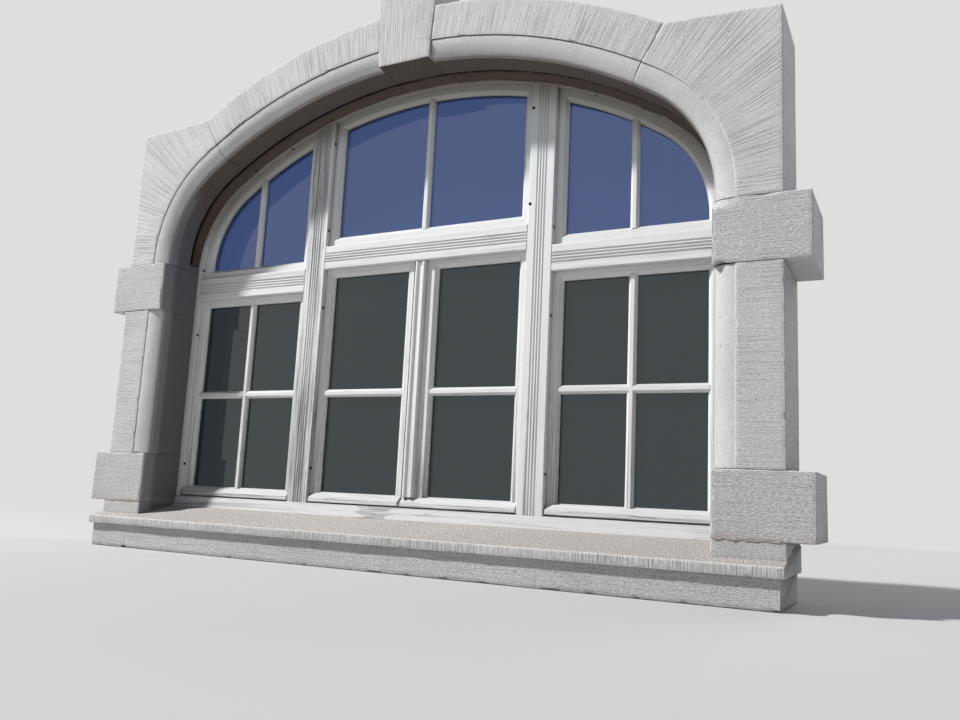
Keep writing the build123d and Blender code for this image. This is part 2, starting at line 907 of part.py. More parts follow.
def make_stone():
    make_sill()
    for side, name in ((-1, "left"), (1, "right")):
        base_chips = [(block_half, base_block_height * 0.55, 12)] if side > 0 else []
        impost_chips = [(block_half * 0.93, 0, 14)] if side > 0 else []
        make_block(side, stool_top, base_block_height, "base_block_" + name, base_chips)
        make_shaft(side, "jamb_shaft_" + name)
        make_block(side, shaft_top, impost_height, "impost_block_" + name, impost_chips)
        make_springer(side, "springer_" + name)
        make_voussoir(side, "voussoir_" + name)
    make_keystone()
    make_soffit_mortar()


def make_frame():
    make_bottom_rail()
    make_frame_head()
    for side, name in ((-1, "left"), (1, "right")):
        make_frame_stile(side, "frame_stile_" + name)
        make_mullion(side, "mullion_" + name)
        span = sorted((side * mullion_outer, side * frame_inner))
        body = sorted((side * mullion_body_outer, side * frame_body_inner))
        make_transom(span, body, side_transom_z, "transom_" + name)
    inner = (-mullion_inner, mullion_inner)
    body = (-mullion_body_inner, mullion_body_inner)
    make_transom(inner, body, centre_transom_z, "transom_centre")


def make_lights():
    for name, light in light_sizes.items():
        make_light_sash(light, "upper_sash_" + name)
        make_light_glass(light, "upper_glass_" + name)


def make_leaves():
    for name, leaf in leaf_sizes.items():
        frame = make_casement(leaf, name + "_casement_frame")
        make_casement_bars(leaf, frame, name + "_casement_bars")
        make_casement_glass(leaf, name + "_casement_glass")
        make_weather_bar(name, name + "_weather_bar")
        make_leaf_hinges(leaf, name + "_leaf_hinges")
    make_astragal()


def make_hardware():
    make_frame_hinges()
    make_cremone_case()
    make_cremone_knob()
    make_cremone_rod(1, "cremone_rod_upper")
    make_cremone_rod(-1, "cremone_rod_lower")
    make_cremone_guides()
    make_cremone_keepers()
    make_turn_button(-button_x, button_z, "turn_button_left")
    make_turn_button(button_x, button_z, "turn_button_right")
    make_turn_button(centre_button_x, centre_button_z, "turn_button_centre")


make_stone()
make_frame()
make_lights()
make_leaves()
make_hardware()
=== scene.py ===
import math
from fnmatch import fnmatch
from functools import partial

import bmesh
import bpy
import numpy as np
from mathutils import Matrix, Vector


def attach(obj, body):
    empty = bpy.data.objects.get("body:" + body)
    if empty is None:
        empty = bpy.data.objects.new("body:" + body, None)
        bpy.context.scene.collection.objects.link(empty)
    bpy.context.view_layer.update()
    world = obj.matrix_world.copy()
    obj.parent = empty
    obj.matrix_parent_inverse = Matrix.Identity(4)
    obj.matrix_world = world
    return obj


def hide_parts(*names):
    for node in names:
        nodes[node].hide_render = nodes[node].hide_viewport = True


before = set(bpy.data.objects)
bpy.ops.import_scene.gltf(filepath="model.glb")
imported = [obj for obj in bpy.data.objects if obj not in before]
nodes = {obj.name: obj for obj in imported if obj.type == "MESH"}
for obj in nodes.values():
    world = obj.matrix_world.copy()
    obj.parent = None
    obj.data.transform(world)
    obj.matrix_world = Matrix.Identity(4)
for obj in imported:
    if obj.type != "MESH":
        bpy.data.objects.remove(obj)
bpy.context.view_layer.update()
print("frame loaded:", len(nodes), "nodes")

# Metres. X runs along the facade, Y goes into the room, Z is up from the bed of the sill

# Camera, floor and light

photographView = {
    "place": (1.6986, -2.4946, 0.2654), "lens": 32.18, "sensorWidth": 36.0, "clip": (0.05, 200),
    "yaw": 27.781, "pitch": -9.048, "roll": 2.772,
}


def placeCamera(view):
    # Turn from the facade to the camera = roll * pitch * yaw * (x right, y down, z forward)
    turn = (
        Matrix.Rotation(math.radians(view["roll"]), 3, "Z")
        @ Matrix.Rotation(math.radians(view["pitch"]), 3, "X")
        @ Matrix.Rotation(math.radians(view["yaw"]), 3, "Y")
        @ Matrix(((1, 0, 0), (0, 0, -1), (0, 1, 0)))
    )
    axes = Matrix((turn[0], -turn[1], -turn[2])).transposed()
    camera = bpy.data.objects.new("photographCamera", bpy.data.cameras.new("photographCamera"))
    bpy.context.scene.collection.objects.link(camera)
    camera.data.sensor_width = view["sensorWidth"]
    camera.data.lens = view["lens"]
    camera.data.clip_start, camera.data.clip_end = view["clip"]
    camera.matrix_world = Matrix.Translation(view["place"]) @ axes.to_4x4()
    bpy.context.scene.camera = camera


lampAim = Vector((0, 0, 1))
studioLamps = {
    # irradiance is what a face square on to the lamp gets, in watts per square metre
    "keyLamp": {"from": (-0.55, -0.36, 0.755), "distance": 18.0, "size": 1.0, "irradiance": 5.53},
    "rimLamp": {"from": (0.45, 0.75, 0.48), "distance": 6.0, "size": 3.0, "irradiance": 1.1},
}
studioAir = {"fill": 0.225, "sky": "#dde7ff", "background": "#dededc"}


def placeLamp(name, lamp):
    # Power = irradiance * pi * distance squared, because an area lamp sends out power / (pi * area) per steradian
    data = bpy.data.lights.new(name, "AREA")
    data.size = lamp["size"]
    data.energy = lamp["irradiance"] * math.pi * lamp["distance"] ** 2
    holder = bpy.data.objects.new(name, data)
    bpy.context.scene.collection.objects.link(holder)
    back = Vector(lamp["from"]).normalized()
    turn = (-back).to_track_quat("-Z", "Y").to_matrix().to_4x4()
    holder.matrix_world = Matrix.Translation(lampAim + back * lamp["distance"]) @ turn


def linearColour(hexText):
    # sRGB hex to linear: c / 12.92 below 0.04045, else ((c + 0.055) / 1.055) to the power 2.4; then alpha 1
    values = np.array([int(hexText[i:i + 2], 16) for i in (1, 3, 5)]) / 255
    linear = np.where(values <= 0.04045, values / 12.92, ((values + 0.055) / 1.055) ** 2.4)
    return (*linear.tolist(), 1.0)


def addNode(tree, kind, settings=None, inputs=(), output=0):
    # One node with its settings. Its inputs come by number or name, or in order; each gets a value, or a link
    # when it is given another node's output. Returns the output asked for, or all of them when output is None
    node = tree.nodes.new("ShaderNode" + kind)
    for name, value in (settings or {}).items():
        setattr(node, name, value)
    for key, value in inputs.items() if isinstance(inputs, dict) else enumerate(inputs):
        if isinstance(value, bpy.types.NodeSocket):
            tree.links.new(value, node.inputs[key])
        else:
            node.inputs[key].default_value = value
    return node.outputs if output is None or not node.outputs else node.outputs[output]


# Settings that many nodes share
times, plus, less, over, timesPlus, larger, above, below, unsigned, lengthOf = (
    {"operation": name} for name in (
        "MULTIPLY", "ADD", "SUBTRACT", "DIVIDE", "MULTIPLY_ADD", "MAXIMUM", "GREATER_THAN", "LESS_THAN", "ABSOLUTE",
        "LENGTH"))
tint, ramp = {"data_type": "RGBA"}, {"interpolation_type": "SMOOTHSTEP"}


def seenRays(node):
    # 1 for what is seen straight, through glass or in a mirror, and 0 for the light that falls on things
    path = node("LightPath", output=None)
    seen = node("Math", larger, (path["Is Camera Ray"], path["Is Transmission Ray"]))
    return node("Math", larger, (seen, path["Is Glossy Ray"]))


def lightAir(air):
    world = bpy.data.worlds.new("studioAir")
    bpy.context.scene.world = world
    world.use_nodes = True
    world.node_tree.nodes.clear()
    node = partial(addNode, world.node_tree)
    fill = node("Background", {}, {"Color": linearColour(air["sky"]), "Strength": air["fill"]})
    pale = node("Background", {}, {"Color": linearColour(air["background"]), "Strength": 1.0})
    node("OutputWorld", {}, {"Surface": node("MixShader", {}, (seenRays(node), fill, pale))})


# Shared numpy shapes

def smoothStep(low, high, value):
    t = np.clip((value - low) / (high - low), 0, 1)
    return t * t * (3 - 2 * t)


def latticeNoise(points, cell, seed):
    # Smooth noise from -1 to 1: a hashed value at each corner of a cubic lattice, blended by t*t*(3-2t)
    grid = points / cell
    base = np.floor(grid).astype(np.int64)
    t = grid - base
    t = t * t * (3 - 2 * t)
    total = np.zeros(points.shape[:-1])
    for corner in range(8):
        step = np.array([corner & 1, corner >> 1 & 1, corner >> 2 & 1])
        at = base + step
        mixed = (at[..., 0] * 374761393 + at[..., 1] * 668265263 + at[..., 2] * 1440662683 + seed * 97531) & 0xFFFFFFFF
        mixed = ((mixed ^ (mixed >> 13)) * 1274126177) & 0xFFFFFFFF
        value = ((mixed ^ (mixed >> 16)) & 0xFFFF) / 32767.5 - 1
        total += value * np.prod(np.where(step == 1, t, 1 - t), axis=-1)
    return total


outlineSteps = {"arc": 4, "besideArc": 0.0035}


def loopArea(points):
    # Twice the area inside a closed outline, negative where it runs clockwise
    following = np.roll(points, -1, axis=0)
    return np.sum(points[:, 0] * following[:, 1] - following[:, 0] * points[:, 1])


def roundedLoop(corners, radii):
    # Closed outline: each corner is an arc tangent to both its sides, and the runs between are cut by
    # (1 - cos(pi t)) / 2, so that they are fine near the arcs. Returns the points, and 1 on arcs that stand out
    corners = np.array(corners, float)
    arcs, arcMarks = [], []
    for before, here, after, radius in zip(np.roll(corners, 1, 0), corners, np.roll(corners, -1, 0), radii):
        if radius == 0:
            arcs.append(here[None])
            arcMarks.append(np.zeros(1))
            continue
        arriving = (here - before) / np.linalg.norm(here - before)
        leaving = (after - here) / np.linalg.norm(after - here)
        turn = math.atan2(arriving[0] * leaving[1] - arriving[1] * leaving[0], arriving @ leaving)
        spoke = -math.copysign(radius, turn) * np.array([-arriving[1], arriving[0]])
        centre = here - arriving * radius * math.tan(abs(turn) / 2) - spoke
        angles = np.linspace(0, turn, outlineSteps["arc"] + 1)[:, None]
        arcs.append(centre + np.cos(angles) * spoke + np.sin(angles) * np.array([-spoke[1], spoke[0]]))
        arcMarks.append(np.full(len(angles), math.copysign(1.0, turn)))
    points, marks = [], []
    for arc, arcMark, following in zip(arcs, arcMarks, arcs[1:] + arcs[:1]):
        run = following[0] - arc[-1]
        pieces = max(2, math.ceil(math.pi / 2 * math.sqrt(np.linalg.norm(run) / outlineSteps["besideArc"])))
        t = (1 - np.cos(np.pi * np.arange(1, pieces) / pieces))[:, None] / 2
        points += [arc, arc[-1] + run * t]
        marks += [arcMark, np.zeros(pieces - 1)]
    points, marks = np.concatenate(points), np.concatenate(marks)
    return points, np.clip(marks * np.sign(loopArea(points)), 0, 1)


def loopNormals(points):
    # Outward normal at each point of a closed outline: the chord between its neighbours, turned a quarter
    chord = np.roll(points, -1, axis=0) - np.roll(points, 1, axis=0)
    normal = np.stack([chord[:, 1], -chord[:, 0]], axis=1) * np.sign(loopArea(points))
    return normal / np.maximum(np.linalg.norm(normal, axis=1, keepdims=True), 1e-9)


def lengthsAlong(points):
    # How far each point is along the line that they make
    return np.append(0, np.cumsum(np.linalg.norm(np.diff(points, axis=0), axis=1)))


def workedSection(corners, radii):
    # The outline's points, 1 on arcs that stand out, the outward normals, and the lengths round it
    profile, edge = roundedLoop(corners, radii)
    return profile, edge, loopNormals(profile), lengthsAlong(np.vstack([profile, profile[:1]]))


def pathSteps(low, high, wear):
    # Distances along a path, with rows close to both ends, and how far each row's outline is drawn in there
    radius = wear["arris"]
    inner = np.linspace(low + radius, high - radius, max(3, round((high - low - 2 * radius) / wear["rowStep"]) + 1))
    places = np.concatenate([[low, low + 0.3 * radius], inner, [high - 0.3 * radius, high]])
    inset = np.concatenate([[radius, 0.3 * radius], np.zeros(len(inner)), [0.3 * radius, radius]])
    return places, inset


def gridPart(rows, rowPlace, columnPlace, marks):
    # Rows of points joined into quads, the last column to the first, and an end face on each end. The UV map
    # takes each row's and each column's place in metres, with one more for the column that closes the round
    rowCount, columns = rows.shape[:2]
    at = np.arange(rowCount * columns).reshape(rowCount, columns)
    right = np.roll(at, -1, axis=1)
    quads = np.stack([at[:-1], right[:-1], right[1:], at[1:]], -1).reshape(-1, 4)
    faces = [*quads.tolist(), at[0, ::-1].tolist(), at[-1].tolist()]
    r, c = np.indices((rowCount - 1, columns))
    ends = np.stack([np.full(columns, rowPlace[0]), columnPlace[:columns]], -1)
    uv = np.stack([rowPlace[np.stack([r, r, r + 1, r + 1], -1)], columnPlace[np.stack([c, c + 1, c + 1, c], -1)]], -1)
    flat = {name: np.broadcast_to(value, (rowCount, columns)).ravel() for name, value in marks.items()}
    return {
        "points": rows.reshape(-1, 3), "faces": faces, "uv": np.concatenate([uv.reshape(-1, 2), ends[::-1], ends]),
        "marks": flat,
    }


def makePiece(name, parts, body, replaced=(), sharp=38):
    # Joins the parts into one mesh, turns its faces outwards, and hands it to the frame
    points = np.concatenate([part["points"] for part in parts])
    faces, start = [], 0
    for part in parts:
        faces += [[index + start for index in face] for face in part["faces"]]
        start += len(part["points"])
    mesh = bpy.data.meshes.new(name)
    mesh.from_pydata(points.tolist(), [], faces)
    layer = mesh.uv_layers.new(name="surface")
    layer.data.foreach_set("uv", np.concatenate([part["uv"] for part in parts]).astype(np.float32).ravel())
    for mark in parts[0]["marks"]:
        values = np.concatenate([part["marks"][mark] for part in parts]).astype(np.float32)
        mesh.attributes.new(mark, "FLOAT", "POINT").data.foreach_set("value", values)
    shell = bmesh.new()
    shell.from_mesh(mesh)
    bmesh.ops.recalc_face_normals(shell, faces=shell.faces)
    shell.to_mesh(mesh)
    shell.free()
    mesh.shade_smooth()
    mesh.set_sharp_from_angle(angle=math.radians(sharp))
    piece = bpy.data.objects.new(name, mesh)
    bpy.context.scene.collection.objects.link(piece)
    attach(piece, body)
    if replaced:
        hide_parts(*replaced)
    return piece


# The moulded opening as one line

opening = {"half": 1.144, "rise": 0.648, "haunchRadius": 0.431, "springing": 1.210, "jointAngle": 31.0}
haunchRadius, springing = opening["haunchRadius"], opening["springing"]
haunchX = opening["half"] - haunchRadius
crownRadius = (haunchX**2 + opening["rise"]**2 - haunchRadius**2) / (2 * (opening["rise"] - haunchRadius))
crownCentre = springing + opening["rise"] - crownRadius
haunchTurn = math.atan2(haunchX, springing - crownCentre)
haunchLength = haunchRadius * (math.pi / 2 - haunchTurn)


def openingLine(s):
    # The right half of the opening by distance s from the springing: a straight jamb below 0, then the
    # haunch's arc, then the crown's arc. Gives the place (x, z) and the outward direction (x, z)
    turn = np.clip(s, 0, haunchLength) / haunchRadius
    fromUpright = haunchTurn - (s - haunchLength) / crownRadius
    pieces = [s < 0, (s >= 0) & (s < haunchLength)]
    outX = np.select(pieces, [1.0, np.cos(turn)], np.sin(fromUpright))
    outZ = np.select(pieces, [0.0, np.sin(turn)], np.cos(fromUpright))
    x = np.select(pieces, [opening["half"], haunchX + haunchRadius * outX], crownRadius * outX)
    z = np.select(pieces, [springing + s, springing + haunchRadius * outZ], crownCentre + crownRadius * outZ)
    return x, z, outX, outZ


def crownDistance(degreesFromUpright):
    return haunchLength + (haunchTurn - math.radians(degreesFromUpright)) * crownRadius


# Dressed stones

stoneWear = {
    # the cells are those of the noises for wide and narrow unevenness, chips, their splinters and fine wear
    "arris": 0.0022, "unevenness": 0.0006, "chip": 0.005, "chipped": (0.42, 0.85), "fine": 0.0007, "wornTo": 0.1,
    "cells": (0.12, 0.03, 0.035, 0.009, 0.008), "rowStep": 0.007,
}
# the reveals' mark lays dirt and painted shade, soffit turns it to the arch's brown, and quirk lays a painted shadow
stoneMarkNames = ("tooled", "stippled", "turned", "arris", "dusty", "soffit", "sheltered", "quirk")
dressing = {
    # how deep the marks are away from the front, the line that their pattern follows and its shift for each stone
    "outside": 0.6, "back": 0.3, "returns": 0.06, "returnPits": 0.35, "line": 0.13, "shift": 0.37,
}

shelter = {
    # depths where dirt and painted shade start on each kind of stone, where they get full, and where they are
    # full under the arch, which no rain reaches and which lies in shade; and the share of it that starts first
    "jamb": (0.018, 0.034), "block": (0.0, 0.008), "stool": (0.0, 0.008), "full": (0.060, 0.070),
    "overhead": (0.026, 0.046), "first": 0.75,
}
moulding = {
    # the roll towards the opening, the mortar's recess and the check behind them, in the jamb's section
    "width": 0.206, "roll": 0.069, "rollDepth": 0.030, "nose": 0.014, "arris": 0.002, "quirk": 0.004,
    "recess": 0.138, "recessWidth": 0.012, "reveal": 0.192, "check": 0.046, "depth": 0.280,
    "blockWidth": 0.284, "blockProud": 0.002, "rollSteps": 14,
}


def rollPoints(section):
    # The roll from the quirk inwards: a flat arc, then a small arc with the same tangent where they meet.
    # flat radius = (gap^2 + depth^2 - nose^2) / (2 (depth - nose)), the gap being the width without the nose
    gap = section["roll"] - section["arris"] - section["nose"]
    flat = (gap**2 + section["rollDepth"]**2 - section["nose"]**2) / (2 * (section["rollDepth"] - section["nose"]))
    meet, steps = math.atan2(gap, flat - section["rollDepth"]), section["rollSteps"]
    angle = np.append(np.linspace(0, meet, steps)[1:], np.linspace(meet, math.pi / 2, steps // 2)[1:])
    onFlat = angle <= meet
    radius = np.where(onFlat, flat, section["nose"])
    away = np.where(onFlat, section["roll"], section["roll"] - gap) - radius * np.sin(angle)
    depth = section["quirk"] + np.where(onFlat, flat, section["rollDepth"]) - radius * np.cos(angle)
    return list(zip(away.tolist(), depth.tolist()))


def sectionLoops(section):
    # The outlines (distance out, depth) of a moulded jamb, a plain block and a stool, with each corner's radius
    width, roll, recess, recessWidth, reveal, check, depth, block, proud = (section[name] for name in (
        "width", "roll", "recess", "recessWidth", "reveal", "check", "depth", "blockWidth", "blockProud"))
    behind = [(check, reveal), (check, depth)]
    rolled = rollPoints(section)
    jamb = [
        (width, 0), (roll, 0), (roll, section["quirk"]), *rolled, (0, section["quirk"] + section["rollDepth"]),
        (0, recess), (recessWidth, recess), (recessWidth, reveal), *behind, (width, depth),
    ]
    jambRadii = [0.0022, 0.0016, 0.0008, *[0] * len(rolled), 0.0006, 0.001, 0.001, 0.001, 0.001, 0.002, 0.003]
    plain = [(block, -proud), (0, -proud), (0, reveal), *behind, (block, depth)]
    stool = [(width, 0), (0, 0), (0, reveal), *behind, (width, depth)]
    return {
        "jamb": (jamb, jambRadii), "block": (plain, [0.003, 0.0025, 0.001, 0.001, 0.002, 0.004]),
        "stool": (stool, [0.003, 0.003, 0.001, 0.001, 0.002, 0.003]),
    }


loops = sectionLoops(moulding)


def wornPoints(rows, normals, edge, wear, seed):
    # Each point moves along its normal by unevenness * noise - edge * (chip depth where noise is high + fine wear)
    wide, narrow, chips, splinters, fine = (
        latticeNoise(rows, cell, seed + index) for index, cell in enumerate(wear["cells"]))
    uneven = wear["unevenness"] * (wide + 0.5 * narrow)
    chip = smoothStep(*wear["chipped"], chips) * (1 + 0.5 * splinters)
    return rows + normals * (uneven - edge * (wear["chip"] * chip + wear["fine"] * (1 + fine)))[..., None]


def stoneMarks(**given):
    # How a stone is worked and weathered at each point, 0 where nothing is given
    return {**dict.fromkeys(stoneMarkNames, 0.0), **given}


def brokenPoints(rows, centre, radius, into, seed):
    # Points inside a ball slide along one direction to the ball's far side, with a rough surface
    into = np.array(into, float) / np.linalg.norm(into)
    offset = rows - np.array(centre)
    ahead = offset @ into
    rough = radius * (1 + 0.12 * latticeNoise(rows, 0.006, seed))
    aside = np.sum(offset**2, axis=-1) - ahead**2
    exitAt = np.sqrt(np.maximum(rough**2 - aside, 0))
    inside = (ahead**2 + aside < rough**2)
    return rows + into * np.where(inside, exitAt - ahead, 0)[..., None]


# How deep into the reveal the dirt and the painted shade lie, on the jambs and under the arch
def dirtAndShadeMark(depth, overhead, kind):
    first = shelter["first"]
    upright = first * smoothStep(*shelter[kind], depth) + (1 - first) * smoothStep(*shelter["full"], depth)
    return np.maximum(upright, overhead * smoothStep(*shelter["overhead"], depth))


def jambStone(side, low, high, kind, worked, seed, outer=None):
    # An outline (distance out from the opening, depth) carried along the opening's line from low to high.
    # outer(x, z, outX, outZ) gives how far out the stone reaches at each place
    profile, edge, normals, around = workedSection(*loops[kind])
    out, deep = profile.T
    s, inset = pathSteps(low, high, stoneWear)
    if outer:
        s = np.sort(np.append(s, shoulderDistance))
        inset = np.insert(inset, np.searchsorted(s, shoulderDistance), 0.0)
    x, z, outX, outZ = (value[:, None] for value in openingLine(s))
    away = out - normals[:, 0] * inset[:, None]
    depth = deep - normals[:, 1] * inset[:, None]
    if worked.get("runOut"):
        # the roll above dies out on the block: its section's depth times a fade over runOut below the block's top
        rolled = np.array(rollPoints(moulding))[::-1]
        fading = np.interp(away, rolled[:, 0], rolled[:, 1]) * smoothStep(worked["runOut"], 0, high - s)[:, None]
        depth = np.maximum(depth, np.where(away < moulding["roll"], fading, -1))
    reach = out.max()
    if outer:
        spread = smoothStep(moulding["roll"] + 0.002, reach - 0.012, away)
        away = away + (outer(x, z, outX, outZ) - reach) * spread
    # the mortar's recess starts at the springing
    inRecess = (deep > moulding["recess"] - 0.002) & (deep < moulding["reveal"] + 1e-4)
    inRecess &= out < moulding["recessWidth"] + 5e-4
    away = np.where((s < 0)[:, None] & inRecess, np.minimum(away, 0.0002), away)
    rows = np.stack([side * (x + outX * away), depth + 0 * x, z + outZ * away], -1)
    facing = np.stack([side * outX * normals[:, 0], normals[:, 1] + 0 * x, outZ * normals[:, 0]], -1)
    nearEnd = ((inset > 0) & (inset < inset.max()))[:, None]
    arris = np.maximum(edge, nearEnd * (normals[:, 1] < -0.3)) * (deep < stoneWear["wornTo"])
    rows = wornPoints(rows, facing, arris, stoneWear, seed)
    for centre, radius, into in worked.get("broken", ()):
        rows = brokenPoints(rows, centre, radius, into, seed + 9)
    front = (deep < 0.0025) & (out > (moulding["roll"] - 0.001 if kind == "jamb" else -1))
    outside = out > reach - (0.01 if outer else 0.003)
    behind = np.where(deep > 0.27, dressing["back"], dressing["returns"])
    # the quirk's step, darkened by a painted shadow
    inQuirk = (np.abs(out - moulding["roll"] + 0.001) < 0.0032) & (deep > 0.0006) & (deep < 0.012)
    overhead = smoothStep(0.05, 0.35, s)[:, None]
    # the reveal's inner band and the arch's underside get dirt and painted shade
    marks = stoneMarks(
        tooled=np.where(front, worked["tooled"], np.where(outside, dressing["outside"], behind)),
        stippled=np.where(front, worked["stippled"], dressing["returnPits"]), arris=arris, soffit=overhead,
        sheltered=dirtAndShadeMark(deep, overhead, kind) * (out < 0.05),
        quirk=inQuirk * (kind == "jamb") * smoothStep(0.25, 0.6, s)[:, None])
    line = np.hstack([x + outX * dressing["line"], z + outZ * dressing["line"]])
    return gridPart(rows, lengthsAlong(line) + seed * dressing["shift"], around, marks)


shoulder = {"side": 1.350, "top": 1.773}


def shoulderReach(x, z, outX, outZ):
    # Distance from the opening's line to the springer's square outside: its upright side, or its top, which
    # slopes from the shoulder's corner to the arch's outside at the joint
    side = (shoulder["side"] - x) / np.maximum(outX, 1e-6)
    angle, archOutside = math.radians(opening["jointAngle"]), crownRadius + moulding["width"]
    slopeX = archOutside * math.sin(angle) - shoulder["side"]
    slopeZ = crownCentre + archOutside * math.cos(angle) - shoulder["top"]
    crossing = slopeX * outZ - slopeZ * outX
    across = (x - shoulder["side"]) * slopeZ - (z - shoulder["top"]) * slopeX
    top = across / np.where(np.abs(crossing) < 1e-6, 1e-6, crossing)
    return np.minimum(side, np.where(top > 0, top, 9))


shoulderDistance = haunchRadius * math.atan2(shoulder["top"] - springing, shoulder["side"] - haunchX)
hairJoint = 0.0004  # half of the joint between two stones
stones = {
    # foot and top above the sill's bed, how deep the comb marks and the pits are, and on the right one how far
    # down the roll dies out and what is broken off: centre, radius, direction
    "base_block": {"span": (0.181, 0.377), "tooled": 0.55, "stippled": 1.35, "broken": [
        ((1.431, -0.005, 0.300), 0.008, (-0.6, 0.8, 0)), ((1.262, -0.006, 0.181), 0.009, (0, 0.6, 0.8))]},
    "jamb_shaft": {"span": (0.377, 0.979), "tooled": 0.6, "stippled": 0.9},
    "impost_block": {"span": (0.979, 1.180), "tooled": 0.6, "stippled": 1.2, "runOut": 0.034, "broken": [
        ((1.176, -0.006, 0.977), 0.013, (0.1, 0.7, 0.7)), ((1.305, -0.002, 1.181), 0.008, (0, 0.8, -0.6))]},
}

archStones = {"tooled": 1.0, "stippled": 0.45}


def buildStones():
    joint, key = crownDistance(opening["jointAngle"]), crownDistance(keystone["halfAngle"])
    made = []
    for side, hand in ((-1, "left"), (1, "right")):
        parts = {}
        for index, (name, stone) in enumerate(stones.items()):
            low, high = (height - springing for height in stone["span"])
            parts[name] = jambStone(
                side, low + hairJoint, high - hairJoint, "jamb" if name == "jamb_shaft" else "block",
                stone if side == 1 else {**stone, "runOut": 0, "broken": []}, 11 + 7 * index + 3 * side)
        parts["springer"] = jambStone(
            side, high + hairJoint, joint - hairJoint, "jamb", archStones, 41 + 3 * side, outer=shoulderReach)
        parts["voussoir"] = jambStone(side, joint + hairJoint, key - hairJoint, "jamb", archStones, 51 + 3 * side)
        for name, part in parts.items():
            made.append(makePiece(f"dressed_{name}_{hand}", [part], "surround", [f"{name}_{hand}"]))
    return [*made, buildKeystone(), buildSill()]


keystone = {
    "foot": 1.856, "top": 2.172, "proud": 0.003, "halfAngle": 3.7, "ledges": (1.870, 1.904),
    "tooled": 1.0, "behind": 0.5, "stippled": 0.4,
}


def buildKeystone():
    # A rectangle (x, depth) carried upwards: its half width is (z - crown centre) * tan(half angle), and it
    # is cut back in two ledges at the foot, over the mortar and the timber head
    low, high = keystone["foot"], keystone["top"]
    slope = math.tan(math.radians(keystone["halfAngle"]))
    half, front, back = (low - crownCentre) * slope, -keystone["proud"], moulding["depth"]
    profile, edge, normals, around = workedSection(
        [(-half, front), (-half, back), (half, back), (half, front)], [0.0026, 0.004, 0.004, 0.0026])
    z, inset = pathSteps(low, high, stoneWear)
    # two rows at each ledge, a hair below and above it
    z = np.append(z, np.add.outer(keystone["ledges"], [-1e-5, 1e-5]))
    inset = np.append(inset, np.zeros(4))[np.argsort(z)]
    z = np.sort(z)
    cut = np.select([z < ledge for ledge in keystone["ledges"]], [moulding["recess"], moulding["reveal"]], back)
    x = (profile[:, 0] - normals[:, 0] * inset[:, None]) * ((z - crownCentre) * slope / half)[:, None]
    y = profile[:, 1] - normals[:, 1] * inset[:, None]
    y = front + (y - front) * ((cut - front) / (back - front))[:, None]
    rows = np.stack([x, y, z[:, None] + 0 * x], -1)
    facing = np.stack([normals[:, 0] + 0 * x, normals[:, 1] + 0 * x, 0 * x], -1)
    aboveFoot = (z > low + 1e-4)[:, None]
    arris = np.maximum(edge, (inset > 0)[:, None]) * (y < stoneWear["wornTo"]) * aboveFoot
    rows = wornPoints(rows, facing, arris, stoneWear, 71)
    # the foot's underside takes the painted shade in full, and the whole stone the arch's brown of dirt and painted
    # shade
    marks = stoneMarks(
        tooled=np.where(profile[:, 1] < 0, keystone["tooled"], keystone["behind"]), stippled=keystone["stippled"],
        turned=1.0, arris=arris, soffit=1.0, sheltered=~aboveFoot * 1.0)
    part = gridPart(rows, z, around, marks)
    return makePiece("dressed_keystone", [part], "surround", ["keystone"])


sill = {
    # the band below and the lip above it: half the length, the outline (depth, height), and how they are worked
    "band": {
        "half": 1.341, "loop": [(-0.045, 0), (0.28, 0), (0.28, 0.0885), (-0.045, 0.0885)],
        "radii": [0.003, 0.003, 0, 0], "turned": 1.0, "tooled": 0.6, "stippled": 1.3,
    },
    "lip": {
        "half": 1.353, "loop": [(-0.060, 0.088), (0.28, 0.088), (0.28, 0.167), (0.170, 0.167), (-0.060, 0.119)],
        "radii": [0.002, 0.003, 0.004, 0.006, 0.0028], "turned": 0.0, "tooled": 1.7, "stippled": 0.9,
    },
    "stool": {"root": 0.100, "top": 0.1806, "tooled": 0.3, "stippled": 1.2},
    "broken": ((-1.153, -0.045, -0.006), 0.017, (0, 0.7, 0.7)), "wornTo": 0.12,
    "elsewhere": {"tooled": 0.15, "stippled": 1.2},
}


def sillCourse(course, seed):
    # An outline (depth, height) carried along x from one end of the sill to the other
    profile, edge, normals, around = workedSection(course["loop"], course["radii"])
    x, inset = pathSteps(-course["half"], course["half"], stoneWear)
    y = profile[:, 0] - normals[:, 0] * inset[:, None]
    z = profile[:, 1] - normals[:, 1] * inset[:, None]
    rows = np.stack([x[:, None] + 0 * y, y, z], -1)
    facing = np.stack([0 * y, normals[:, 0] + 0 * y, normals[:, 1] + 0 * y], -1)
    arris = np.maximum(edge, (inset > 0)[:, None]) * (y < sill["wornTo"])
    rows = brokenPoints(wornPoints(rows, facing, arris, stoneWear, seed), *sill["broken"], seed + 5)
    worked = {name: np.where(normals[:, 0] < -0.7, course[name], plain) for name, plain in sill["elsewhere"].items()}
    sloping = (normals[:, 1] > 0.5) & (profile[:, 1] > 0.1)
    marks = stoneMarks(**worked, turned=course["turned"], arris=arris, dusty=sloping * 1.0)
    return gridPart(rows, x + 5, around, marks)


def buildSill():
    low, high = (sill["stool"][end] - springing for end in ("root", "top"))
    stools = [jambStone(side, low, high, "stool", sill["stool"], 91 + side) for side in (-1, 1)]
    parts = [sillCourse(sill["band"], 81), sillCourse(sill["lip"], 84), *stools]
    return makePiece("dressed_sill", parts, "surround", ["stone_sill"])


# Mortar, sockets and screws

soffitMortar = {
    "front": 0.140, "back": 0.1917, "thick": 0.0117, "proud": 0.0003, "step": 0.005, "rough": 0.0013,
    "crackSteps": [0, 0.003, 0.006, 0.008, 0.0095], "crackDepth": 0.009, "smearedFrom": 0.166, "smearedTo": 0.189,
    "droop": 0.017,
}


